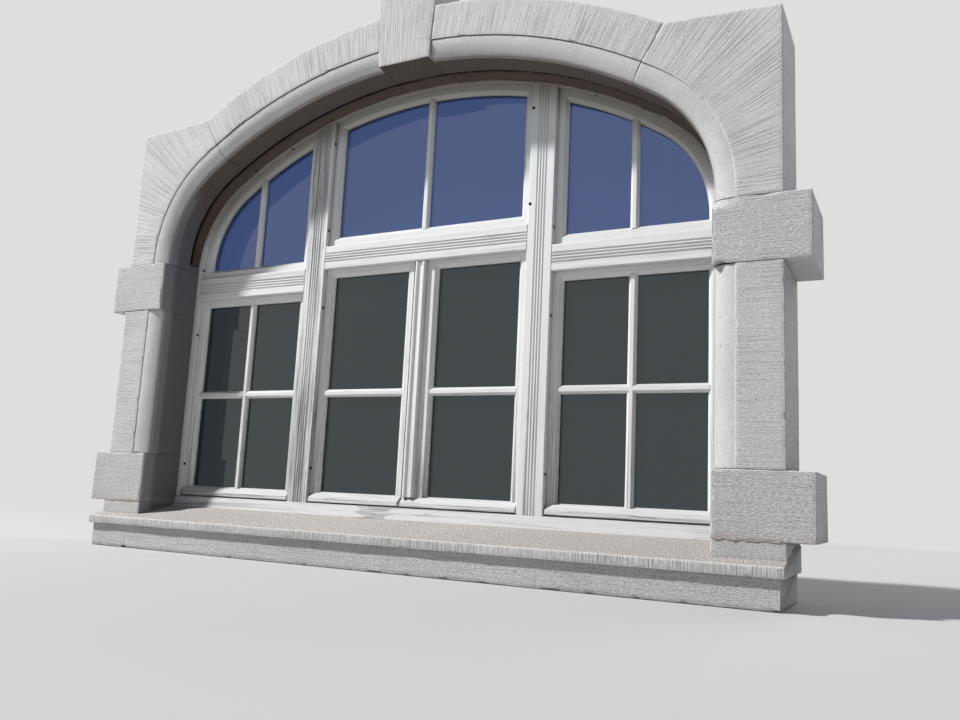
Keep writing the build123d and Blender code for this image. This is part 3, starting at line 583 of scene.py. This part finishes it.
def buildSoffitMortar(mortar):
    # The outline (distance out, depth) carried round the whole arch; its face is the opening's line pushed
    # outwards by noise, open in a crack along the stone, and hanging lower where it was smeared over the timber
    half = haunchLength + crownRadius * haunchTurn
    t = np.linspace(-half, half, round(2 * half / mortar["step"]) | 1)
    x, z, outX, outZ = (value[:, None] for value in openingLine(half - np.abs(t)))
    sign = np.where(t < 0, -1, 1)[:, None]
    face = np.append(mortar["crackSteps"], np.linspace(0.011, mortar["back"] - mortar["front"], 25))
    top = np.linspace(mortar["back"] - mortar["front"], 0, 6)
    behindFront, onFace = np.append(face, top), np.repeat([1.0, 0.0], [len(face), len(top)])
    depth = mortar["front"] + behindFront
    place = np.stack([sign * x + 0 * depth, depth + 0 * x, z + 0 * depth], -1)
    rough = mortar["rough"] * (2 + latticeNoise(place, 0.014, 5) + latticeNoise(place, 0.045, 6))
    wander = latticeNoise(np.stack([t, 0 * t, 0 * t], -1), 0.03, 7)[:, None]
    crack = mortar["crackDepth"] * onFace * smoothStep(0.0105 + 0.001 * wander, 0.0075, behindFront)
    towardsCrown = (0.3 + 0.7 * smoothStep(0.0, 0.5, half - np.abs(t)))[:, None]
    smeared = smoothStep(mortar["smearedFrom"], mortar["smearedTo"], depth) * onFace * towardsCrown
    lumps = 1 + 0.08 * latticeNoise(place, 0.05, 8) + 0.05 * latticeNoise(place, 0.012, 9)
    away = np.where(onFace > 0, mortar["proud"], mortar["thick"]) + crack
    away = away + onFace * (rough - mortar["droop"] * smeared * lumps)
    rows = np.stack([sign * (x + outX * away), depth + 0 * x, z + outZ * away], -1)
    # crack marks the crack's inside, which is painted near-black as its shade
    part = gridPart(rows, t, np.append(depth, depth[0]), {"crack": smoothStep(0.0145, 0.0125, behindFront)})
    return makePiece("rough_soffit_mortar", [part], "surround", ["soffit_mortar"], sharp=60)


beddingMortar = {
    "from": 1.146, "to": 1.349, "height": 0.1805, "depth": 0.002, "radius": 0.0050, "rows": 90, "round": 16,
}


def buildBeddingMortar(bed):
    # A squeezed-out ridge: a circle carried along x, whose radius is the given one times (0.55 + noise)
    x = np.linspace(bed["from"], bed["to"], bed["rows"])
    angle = np.linspace(0, 2 * np.pi, bed["round"] + 1)[:-1]
    spoke = np.stack([0 * angle, -np.cos(angle), np.sin(angle) * 0.9], -1)
    ending = smoothStep(0, 0.01, np.minimum(x - bed["from"], bed["to"] - x))[:, None]
    parts = []
    for side in (-1, 1):
        centre = np.stack([side * x, bed["depth"] + 0 * x, bed["height"] + 0 * x], -1)[:, None]
        place = centre + spoke * bed["radius"]
        swell = 0.55 + 0.45 * latticeNoise(place, 0.022, 15) + 0.25 * latticeNoise(place, 0.006, 16)
        swell = np.maximum(np.clip(swell, 0.12, 1.2) * ending, 0.1)
        rows = centre + spoke * (bed["radius"] * swell)[..., None]
        parts.append(gridPart(rows, x, np.linspace(0, 0.03, bed["round"] + 1), {"crack": 0.0}))
    return makePiece("bedding_mortar", parts, "surround", sharp=60)


def turnedPart(profile, place, axis, columns=20):
    # A profile (radius, height) turned round an axis through the place
    axis = np.array(axis, float) / np.linalg.norm(axis)
    beside = np.cross(axis, (0, 0, 1) if abs(axis[2]) < 0.9 else (1, 0, 0))
    beside /= np.linalg.norm(beside)
    angle = np.linspace(0, 2 * np.pi, columns + 1)[:-1, None]
    ring = np.cos(angle) * beside + np.sin(angle) * np.cross(axis, beside)
    profile = np.array(profile, float)
    rows = np.array(place) + profile[:, :1, None] * ring + profile[:, 1:, None] * axis
    return gridPart(rows, profile[:, 1], np.linspace(0, 0.02, columns + 1), {})


stormPlugs = {
    # iron sockets that once held winter sashes: where each is and which way it faces, and on the head's round
    # their angles from upright, how far below the crown's line, and their depth
    "profile": [
        (0.0060, -0.003), (0.0060, 0.0003), (0.0054, 0.0012), (0.0044, 0.0012), (0.0040, 0.0003), (0.0010, 0.0003)],
    "places": [
        ((0.547, 0.203, 0.900), (1, 0, 0)), ((0.547, 0.203, 0.351), (1, 0, 0)),
        ((-1.124, 0.202, 0.904), (1, 0, 0)), ((-1.124, 0.202, 0.345), (1, 0, 0)),
        ((-0.448, 0.202, 0.987), (1, 0, 0)), ((-0.448, 0.202, 0.345), (1, 0, 0)),
        ((0.4555, 0.192, 1.679), (0, -1, 0)), ((0.4555, 0.192, 1.313), (0, -1, 0)),
        ((0.547, 0.202, 1.220), (1, 0, 0)), ((-0.448, 0.202, 1.682), (1, 0, 0)),
        ((-0.448, 0.202, 1.309), (1, 0, 0)), ((-1.124, 0.202, 1.195), (1, 0, 0)),
    ],
    "headAngles": (24.2, -23.6), "headInset": 0.020, "headDepth": 0.202,
}


def buildPlugs(plugs):
    places = list(plugs["places"])
    for angle in plugs["headAngles"]:
        outX, outZ = math.sin(math.radians(angle)), math.cos(math.radians(angle))
        radius = crownRadius - plugs["headInset"]
        places.append(((radius * outX, plugs["headDepth"], crownCentre + radius * outZ), (-outX, 0, -outZ)))
    parts = [turnedPart(plugs["profile"], place, axis) for place, axis in places]
    return makePiece("storm_sash_sockets", parts, "surround")


screws = {
    "profile": [(0.0034, -0.001), (0.0034, 0.0001), (0.0026, 0.0007), (0.0010, 0.0010), (0.0004, 0.0010)],
    "round": 14, "face": 0.2590, "beside": 0.018, "apart": (0.008, 0.024),
    # each leaf's hinge pins, which way the leaf lies from them, and their heights
    "hinges": {
        "left": (-1.138, 1, (0.328, 0.940)), "centre_left": (-0.462, 1, (0.328, 1.026)),
        "centre_right": (0.462, -1, (0.328, 1.026)), "right": (1.138, -1, (0.328, 0.940)),
    },
    "boltCase": [(0.024, 0.2760, 0.594), (0.024, 0.2760, 0.686)],
}


def buildScrews():
    # Two screws in each hinge plate, the frame's below the pin's middle and the leaf's above, and two in the
    # bolt's case, all facing the room
    places = {body: [] for body in ("surround", *(f"{leaf}_leaf" for leaf in screws["hinges"]))}
    for leaf, (x, inward, heights) in screws["hinges"].items():
        for z in heights:
            for apart in screws["apart"]:
                places["surround"].append((x - inward * screws["beside"], screws["face"], z - apart))
                places[f"{leaf}_leaf"].append((x + inward * screws["beside"], screws["face"], z + apart))
    places["centre_right_leaf"] += screws["boltCase"]
    made = []
    for body, spots in places.items():
        parts = [turnedPart(screws["profile"], place, (0, 1, 0), screws["round"]) for place in spots]
        made.append(makePiece(f"screws_{body}", parts, body))
    return made


# Floor

studioFloor = {
    "reach": 30.0, "lines": 13, "height": -0.0005, "colour": "#adadab", "worn": "#c4c4c2", "fadeFrom": 2.6,
    "fadeTo": 7.0,
}


def buildFloor(floor):
    # A level grid: x and y each run from -reach to reach
    line = np.linspace(-floor["reach"], floor["reach"], floor["lines"])
    x, y = np.meshgrid(line, line, indexing="ij")
    points = np.stack([x, y, np.full_like(x, floor["height"])], -1).reshape(-1, 3)
    at = np.arange(x.size).reshape(x.shape)
    quads = np.stack([at[:-1, :-1], at[1:, :-1], at[1:, 1:], at[:-1, 1:]], -1).reshape(-1, 4)
    mesh = bpy.data.meshes.new("studio_floor")
    mesh.from_pydata(points.tolist(), [], quads.tolist())
    piece = bpy.data.objects.new("studio_floor", mesh)
    bpy.context.scene.collection.objects.link(piece)
    return piece


# Materials

def newMaterial(name, look):
    # An empty material, the function that adds its nodes, the look's colours, and the place on the object
    material = bpy.data.materials.new(name)
    material.use_nodes = True
    material.node_tree.nodes.clear()
    node = partial(addNode, material.node_tree)
    shade = {part: linearColour(value) for part, value in look.items() if isinstance(value, str)}
    return material, node, shade, node("TexCoord", output="Object")


def layColours(node, colour, layers, shade):
    # Lays colours over the first one. Each layer gives a value, the numbers of a ramp that it goes through or
    # none, what that is multiplied by or None, and the name of the colour that it lets in
    for amount, span, share, cover in layers:
        if span:
            amount = node("MapRange", ramp, (amount, *span))
        if share is not None:
            amount = node("Math", times, (amount, share))
        colour = node("Mix", tint, {0: amount, 6: colour, 7: shade[cover]}, 2)
    return colour


# Comb-dressed grey sandstone: sawn blocks worked with a toothed chisel in strokes a few millimetres apart. That
# gives thin dark furrows side by side, a stippled grain, small pores and arrises worn pale, all of it matt
sandstone = {
    # the quirk's colour is a painted shadow, the soffit's and the reveals' colours are dirt and painted shade, and
    # grime is dirt, and painted shade where ambient occlusion lays it
    "stone": "#cbcbc9", "furrow": "#888785", "pale": "#dbdad7", "cool": "#b3b4b3", "pore": "#565452",
    "quirk": "#4a4643", "soffit": "#564a44", "sheltered": "#616467", "dust": "#9d938e", "sand": "#857c76",
    "grimeAndShade": "#655e58", "bedding": "#ad9990",
    "strokes": (0.0046, 0.16), "stipple": (0.0036, 0.0108), "streaks": (0.22, 0.012), "grain": 1 / 300,
    "poreCell": 0.021, "poreSize": 0.0026, "innerCorner": 0.035, "depth": 0.0014,
}


def combedSandstone(look):
    material, node, shade, place = newMaterial("combed_grey_sandstone", look)
    surface = node("SeparateXYZ", {}, (node("UVMap", {"uv_map": "surface"}),), None)
    marks = {name: node("Attribute", {"attribute_name": name}, {}, "Fac") for name in stoneMarkNames}
    across = node("Mix", {}, {0: marks["turned"], 2: surface[0], 3: surface[1]})
    along = node("Mix", {}, {0: marks["turned"], 2: surface[1], 3: surface[0]})
    height = node("SeparateXYZ", {}, (place,), 2)

    # strokes: noise a stroke's pitch wide, drawn out to a stroke's length; stipple: the same, nearly as long as it
    # is wide; streaks: the same along the sill's slope. Grain, clouds and fields of strokes have no direction
    strokeSpace, stippleSpace, streakSpace = (
        node("CombineXYZ", {}, [node("Math", over, pair) for pair in zip(places, look[name])])
        for places, name in (((across, along), "strokes"), ((across, along), "stipple"), (surface[:2], "streaks")))
    strokes, stipple, streaks, grain, clouds, fields = (
        node("TexNoise", {}, {"Vector": space, "Scale": scale, "Detail": detail, "Roughness": roughness})
        for space, scale, detail, roughness in (
            (strokeSpace, 1.0, 1.5, 0.5), (stippleSpace, 1.0, 2.0, 0.7), (streakSpace, 1.0, 4.0, 0.7),
            (place, 1 / look["grain"], 2.0, 0.8), (place, 3.2, 6.0, 0.62), (place, 8.0, 2.0, 0.5)))

    # furrows, deeper and shallower in the fields; pits; pores: a dark spot in some cells of a lattice
    strength = node("Math", times, (marks["tooled"], node("MapRange", ramp, (fields, 0.32, 0.62, 0.55, 1.0))))
    furrow = node("Math", times, (node("MapRange", ramp, (strokes, 0.44, 0.66)), strength))
    pits = node("Math", times, (node("MapRange", {}, (stipple, 0.38, 0.64)), marks["stippled"]))
    cell = node("TexVoronoi", {}, {"Vector": place, "Scale": 1 / look["poreCell"]}, None)
    share = look["poreSize"] / look["poreCell"]
    chosen = node("Math", above, (node("SeparateXYZ", {}, (cell["Color"],)), 0.45))
    pore = node("Math", times, (node("MapRange", ramp, (cell["Distance"], share, 0.4 * share)), chosen))

    # dirt that rain never reaches, with painted shade, is grey on the jambs and brown under the arch. Reddish bedding
    # mortar is smeared over the joint above the stools, and ambient occlusion lays dirt and painted shade in the inner
    # corners
    shade["dirtAndShadeColour"] = node("Mix", tint, {0: marks["soffit"], 6: shade["sheltered"], 7: shade["soffit"]}, 2)
    nearBed = node("Math", times, (
        node("MapRange", ramp, (height, 0.168, 0.181)), node("MapRange", ramp, (height, 0.212, 0.183))))
    # ambient occlusion, for dirt and painted shade in the inner corners
    occlusionShade = node("AmbientOcclusion", {"samples": 4}, {"Distance": look["innerCorner"]}, "AO")
    colour = layColours(node, shade["stone"], (
        (clouds, (0.5, 0.72), 0.6, "pale"), (clouds, (0.5, 0.3), 0.7, "cool"),
        (clouds, (0.25, 0.6, 0.6, 1.0), marks["dusty"], "dust"),
        (streaks, (0.42, 0.70, 0.0, 0.5), marks["dusty"], "sand"),
        (furrow, (), 0.62, "furrow"), (grain, (0.4, 0.68, 0.0, 0.4), None, "pale"),
        (grain, (0.5, 0.3, 0.0, 0.45), None, "furrow"), (pits, (), 0.46, "furrow"),
        # grit on the slope: dark and pale grains
        (stipple, (0.48, 0.64, 0.0, 0.55), marks["dusty"], "grimeAndShade"),
        (stipple, (0.46, 0.34, 0.0, 0.5), marks["dusty"], "pale"),
        # dirt and painted shade in the reveals and under the arch, then the quirk's painted shadow
        (grain, (0.3, 0.7, 1.0, 0.88), marks["sheltered"], "dirtAndShadeColour"), (marks["quirk"], (), 0.8, "quirk"),
        (pore, (), 0.7, "pore"), (marks["arris"], (), 0.45, "pale"),
        (stipple, (0.4, 0.6, 0.0, 0.6), nearBed, "bedding"), (occlusionShade, (0.66, 0.15, 0.0, 0.7), None, "grimeAndShade"),
    ), shade)

    relief = node("Math", times, (grain, 0.45))
    for mark, lift in ((furrow, -0.45), (pits, -0.4), (pore, -0.6)):
        relief = node("Math", timesPlus, (mark, lift, relief))
    bump = node("Bump", {}, {"Strength": 0.9, "Distance": look["depth"], "Height": relief})
    node("OutputMaterial", {}, {"Surface": node("BsdfPrincipled", {}, {
        "Base Color": colour, "Roughness": 0.92, "Specular IOR Level": 0.25, "Normal": bump})})
    return material


# Lime and sand mortar, struck off rough by hand: brownish and gritty, with an open crack whose inside is painted
# near-black as its shade
limeMortar = {"mortar": "#52453e", "sand": "#6b5d53", "dark": "#120e0c", "grit": 0.003, "depth": 0.0022}
beddingLook = {**limeMortar, "mortar": "#a3948c", "sand": "#b9aca4", "dark": "#433a35"}


def roughMortar(look, name):
    material, node, shade, place = newMaterial(name, look)
    crack = node("Attribute", {"attribute_name": "crack"}, {}, "Fac")
    grit = node("TexNoise", {}, {"Vector": place, "Scale": 1 / look["grit"], "Detail": 4.0, "Roughness": 0.7})
    lumps = node("TexNoise", {}, {"Vector": place, "Scale": 45.0, "Detail": 3.0})
    colour = layColours(node, shade["mortar"], (
        (grit, (0.4, 0.68), None, "sand"), (lumps, (0.38, 0.22, 0.0, 0.8), None, "dark"), (crack, (), 0.9, "dark"),
    ), shade)
    relief = node("Math", plus, (grit, lumps))
    bump = node("Bump", {}, {"Strength": 1.0, "Distance": look["depth"], "Height": relief})
    node("OutputMaterial", {}, {"Surface": node("BsdfPrincipled", {}, {
        "Base Color": colour, "Roughness": 0.95, "Specular IOR Level": 0.2, "Normal": bump})})
    return material


# Softwood under several coats of white oil paint, brushed along the grain and weathered: the paint is dry and
# chalky, shows the grain as fine ridges, greys in streaks and opens in long cracks, worst low down and outside
oilPaint = {
    "paint": "#e1e1df", "streak": "#9fa2a6", "bare": "#8f8e8e", "crack": "#504f50", "inside": "#e3e0d8",
    # olive is dirt and painted shade under the arch, and grime is dirt and painted shade in the gaps
    "grimeAndShade": "#545250", "oliveShade": "#6f6552", "dust": "#b5b4b2",
    "grainWidth": 0.0034, "grainLength": 0.20, "crackSpacing": 0.019, "crackLength": 0.30, "gap": 0.012,
    "outsideTo": 0.236, "depth": 0.0009, "softEdge": 0.0015, "peeledAt": None,
}
railPaint = {**oilPaint, "paint": "#cdcdcb", "dust": "#a5a4a2", "peeledAt": -0.13}


def weatheredPaint(look, name, uprightSpans, wear):
    # uprightSpans: the ranges of x whose grain stands upright; everywhere else it lies along x
    material, node, shade, place = newMaterial(name, look)
    x, y, z = node("SeparateXYZ", {}, (place,), None)[:3]
    upright = 0.0
    for low, high in uprightSpans:
        span = node("Math", times, (node("Math", above, (x, low)), node("Math", below, (x, high))))
        upright = node("Math", larger, (span, upright))
    across = node("Mix", {}, {0: upright, 2: z, 3: x})
    along = node("Mix", {}, {0: upright, 2: x, 3: z})

    # grain: noise drawn out along the timber; cracks: the narrow line where a second such noise crosses its middle
    grainSpace, crackSpace = (
        node("CombineXYZ", {}, [node("Math", over, pair) for pair in ((across, width), (y, width), (along, length))])
        for width, length in ((look["grainWidth"], look["grainLength"]), (look["crackSpacing"], look["crackLength"])))
    grain = node("TexNoise", {}, {"Vector": grainSpace, "Scale": 1.0, "Detail": 3.0, "Roughness": 0.6})
    crackNoise = node("TexNoise", {}, {"Vector": crackSpace, "Scale": 1.0, "Detail": 1.5})
    middle = node("Math", unsigned, (node("Math", less, (crackNoise, 0.5)),))
    patches = node("TexNoise", {}, {"Vector": grainSpace, "Scale": 0.14, "Detail": 3.0, "Roughness": 0.6})
    clouds = node("TexNoise", {}, {"Vector": place, "Scale": 7.0, "Detail": 3.0})

    # weather: outside only, stronger near the sill
    outside = node("MapRange", ramp, (y, look["outsideTo"] + 0.01, look["outsideTo"]))
    lowDown = node("MapRange", ramp, (z, 0.85, 0.2, 0.3, 1.0))
    weather = node("Math", times, (node("Math", times, (outside, lowDown)), wear))
    worn = node("MapRange", ramp, (node("Math", timesPlus, (weather, 0.24, patches)), 0.56, 0.74))
    worn = node("Math", times, (worn, node("MapRange", ramp, (weather, 0.05, 0.4))))
    if look["peeledAt"]:
        # the paint has come off in flakes round there, along x
        beside = node("Math", unsigned, (node("Math", less, (x, look["peeledAt"])),))
        flake = node("Math", plus, (node("MapRange", {}, (beside, 0.05, 0.16, 0.2, -0.2)), patches))
        peeled = node("Math", times, (node("MapRange", ramp, (flake, 0.58, 0.64)), outside))
        worn = node("Math", larger, (worn, peeled))
    brittle = node("Math", timesPlus, (worn, 0.25, clouds))
    cracked = node("MapRange", ramp, (node("Math", timesPlus, (weather, 0.2, brittle)), 0.60, 0.78))
    cracked = node("Math", times, (node("MapRange", ramp, (middle, 0.010, 0.001)), cracked))
    cracked = node("Math", times, (cracked, outside))

    # faces that look upwards are darker, as dust and as painted shade against the stronger light on them; under the
    # arch the paint gets dirt and painted shade, olive towards the crown's line; ambient occlusion lays dirt and
    # painted shade in the gaps
    facing = node("SeparateXYZ", {}, (node("NewGeometry", {}, {}, "Normal"),), 2)
    fromCentre = node("CombineXYZ", {}, {0: x, 2: node("Math", less, (z, crownCentre))})
    radius = node("VectorMath", lengthOf, (fromCentre,), "Value")
    # ambient occlusion, for dirt and painted shade in the gaps
    occlusionShade = node("AmbientOcclusion", {"samples": 4}, {"Distance": look["gap"]}, "AO")
    colour = layColours(node, shade["inside"], (
        (outside, (), None, "paint"),
        (grain, (0.5, 0.72), node("MapRange", ramp, (weather, 0.0, 0.8, 0.2, 1.0)), "streak"),
        (grain, (0.38, 0.6, 0.2, 0.9), worn, "bare"), (cracked, (), 0.55, "crack"),
        # upward faces are darkened as dust and as painted shade, against the stronger light that falls on them
        (facing, (0.15, 0.75, 0.0, 0.75), outside, "dust"),
        (radius, (crownRadius - 0.15, crownRadius - 0.01, 0.0, 0.75), outside, "oliveShade"),
        (occlusionShade, (0.6, 0.12, 0.0, 0.88), None, "grimeAndShade"),
    ), shade)

    relief = node("Math", times, (grain, node("MapRange", ramp, (weather, 0.0, 1.0, 0.22, 0.8))))
    for mark, lift in ((cracked, -0.8), (worn, -0.35)):
        relief = node("Math", timesPlus, (mark, lift, relief))
    soft = node("Bevel", {"samples": 4}, {"Radius": look["softEdge"]})
    bump = node("Bump", {}, {"Strength": 0.8, "Distance": look["depth"], "Height": relief, "Normal": soft})
    roughness = node("MapRange", ramp, (weather, 0.0, 1.0, 0.42, 0.7))
    node("OutputMaterial", {}, {"Surface": node("BsdfPrincipled", {}, {
        "Base Color": colour, "Roughness": roughness, "Specular IOR Level": 0.35, "Normal": bump})})
    return material


# Old drawn window glass, 3 mm, with a sharp shine and a slow wave across it. Its colour is a painted reflection:
# blue sky on the upper lights, a dark surround on the lower ones
glassPaintedReflections = {"lower": "#394145", "upper": "#4f6498", "waveLength": 0.14, "waveHeight": 0.0005}


def glassWithPaintedReflection(look, height):
    material, node, shade, place = newMaterial(f"glass_with_painted_reflection_{height}", look)
    wave = node("TexNoise", {}, {"Vector": place, "Scale": 1 / look["waveLength"], "Detail": 0.0})
    bump = node("Bump", {}, {"Strength": 0.4, "Distance": look["waveHeight"], "Height": wave})
    node("OutputMaterial", {}, {"Surface": node("BsdfPrincipled", {}, {
        "Base Color": shade[height], "Roughness": 0.02, "IOR": 1.52, "Transmission Weight": 0.9,
        "Normal": bump})})
    return material


# Forged and painted iron, handled for decades: dark, satin, rubbed brown in patches
paintedIron = {"iron": "#3b3936", "rubbed": "#6b5a4b", "grain": 0.004, "depth": 0.0004}
# the sockets' dark iron, darkened almost to black as painted shade
socketIronShade = {**paintedIron, "iron": "#12100f", "rubbed": "#2b241f"}


def darkIron(look, name):
    material, node, shade, place = newMaterial(name, look)
    grain = node("TexNoise", {}, {"Vector": place, "Scale": 1 / look["grain"], "Detail": 3.0})
    clouds = node("TexNoise", {}, {"Vector": place, "Scale": 60.0, "Detail": 3.0})
    colour = layColours(node, shade["iron"], [(clouds, (0.52, 0.7), None, "rubbed")], shade)
    bump = node("Bump", {}, {"Strength": 0.7, "Distance": look["depth"], "Height": grain})
    roughness = node("MapRange", ramp, (clouds, 0.3, 0.7, 0.35, 0.6))
    node("OutputMaterial", {}, {"Surface": node("BsdfPrincipled", {}, {
        "Base Color": colour, "Metallic": 0.6, "Roughness": roughness, "Normal": bump})})
    return material


# Cast brass, turned and polished, dulled by hands: warm yellow with brown tarnish in patches
castBrass = {"brass": "#b8975a", "tarnish": "#7a6238", "patch": 0.02}


def dulledBrass(look):
    material, node, shade, place = newMaterial("dulled_cast_brass", look)
    patches = node("TexNoise", {}, {"Vector": place, "Scale": 1 / look["patch"], "Detail": 4.0})
    colour = layColours(node, shade["brass"], [(patches, (0.48, 0.7), None, "tarnish")], shade)
    roughness = node("MapRange", ramp, (patches, 0.3, 0.7, 0.22, 0.5))
    node("OutputMaterial", {}, {"Surface": node("BsdfPrincipled", {}, {
        "Base Color": colour, "Metallic": 1.0, "Roughness": roughness})})
    return material


# Matt painted studio floor that fades into the pale background far off, for what the eye sees only
def paleFloor(look, air):
    material, node, shade, place = newMaterial("pale_matt_floor", look)
    clouds = node("TexNoise", {}, {"Vector": place, "Scale": 1.5, "Detail": 2.0})
    colour = layColours(node, shade["colour"], [(clouds, (), 0.1, "worn")], shade)
    shader = node("BsdfPrincipled", {}, {"Base Color": colour, "Roughness": 0.9, "Specular IOR Level": 0.2})
    away = node("VectorMath", lengthOf, (place,), "Value")
    fade = node("MapRange", ramp, (away, look["fadeFrom"], look["fadeTo"]))
    fade = node("Math", times, (fade, seenRays(node)))
    glow = node("Emission", {}, {"Color": linearColour(air["background"]), "Strength": 1.0})
    node("OutputMaterial", {}, {"Surface": node("MixShader", {}, (fade, shader, glow))})
    return material


def dressPiece(piece, material):
    if piece.material_slots:
        for holder in piece.material_slots:
            holder.material = material
    else:
        piece.data.materials.append(material)


# Where each leaf's and light's stiles stand, so that their grain runs up and the rails' grain runs along
leafStiles = {
    "left": [(-1.2, -1.087), (-0.584, -0.4), (-0.8505, -0.8205)],
    "centre_left": [(-0.47, -0.411), (-0.062, 0.0)],
    "centre_right": [(-0.03, 0.074), (0.411, 0.47)],
    "right": [(0.4, 0.584), (1.087, 1.2), (0.8205, 0.8505)],
}
lightStiles = {
    "left": [(-0.584, -0.4), (-0.8505, -0.8205)],
    "centre": [(-0.47, -0.411), (0.411, 0.47), (-0.015, 0.015)],
    "right": [(0.4, 0.584), (0.8205, 0.8505)],
}
everywhere = [(-9, 9)]
paints = {
    # the look, where the grain stands upright, and how worn it is
    "upright": (oilPaint, everywhere, 0.3), "left_mullion": (oilPaint, everywhere, 2.4),
    "level": (oilPaint, [], 0.7), "bottom_rail": (railPaint, [], 0.35),
    **{f"{name}_leaf": (oilPaint, spans, 0.65) for name, spans in leafStiles.items()},
    **{f"{name}_light": (oilPaint, spans, 0.4) for name, spans in lightStiles.items()},
}
finishes = {
    # the first pattern that a node's name fits gives its finish
    "upper_glass_*": "upper", "*_casement_glass": "lower",
    **{f"{name}_casement_*": f"{name}_leaf" for name in leafStiles},
    **{f"upper_sash_{name}": f"{name}_light" for name in lightStiles},
    "mullion_left": "left_mullion", "mullion_right": "upright", "frame_stile_*": "upright", "astragal": "upright",
    "frame_bottom_rail": "bottom_rail", "transom_*": "level", "frame_head": "level", "*_weather_bar": "level",
    "cremone_knob": "brass", "turn_button_*": "brass", "cremone_*": "iron", "*_hinges": "iron",
}


def dressAll():
    made = {"iron": darkIron(paintedIron, "painted_wrought_iron"), "brass": dulledBrass(castBrass)}
    for height in ("upper", "lower"):
        made[height] = glassWithPaintedReflection(glassPaintedReflections, height)
    for name, (look, spans, wear) in paints.items():
        made[name] = weatheredPaint(look, f"weathered_paint_{name}", spans, wear)
    for pieces, material in (
        ([floorPiece], paleFloor(studioFloor, studioAir)), (stonePieces, combedSandstone(sandstone)),
        (mortarPieces[:1], roughMortar(limeMortar, "rough_lime_mortar")),
        (mortarPieces[1:], roughMortar(beddingLook, "reddish_bedding_mortar")),
        (ironPieces[:1], darkIron(socketIronShade, "socket_iron_with_painted_shade")), (ironPieces[1:], made["iron"]),
    ):
        for piece in pieces:
            dressPiece(piece, material)
    for name, piece in nodes.items():
        finish = next((made[kind] for pattern, kind in finishes.items() if fnmatch(name, pattern)), None)
        if finish:
            dressPiece(piece, finish)


bpy.context.scene.view_settings.view_transform = "Standard"
placeCamera(photographView)
for lampName, lamp in studioLamps.items():
    placeLamp(lampName, lamp)
lightAir(studioAir)
floorPiece = buildFloor(studioFloor)
print("camera, lamps and floor placed")

stonePieces = buildStones()
print("dressed stones built:", len(stonePieces))
mortarPieces = [buildSoffitMortar(soffitMortar), buildBeddingMortar(beddingMortar)]
ironPieces = [buildPlugs(stormPlugs), *buildScrews()]
print("mortar, sockets and screws built:", len(mortarPieces) + len(ironPieces))

dressAll()
print("materials given")
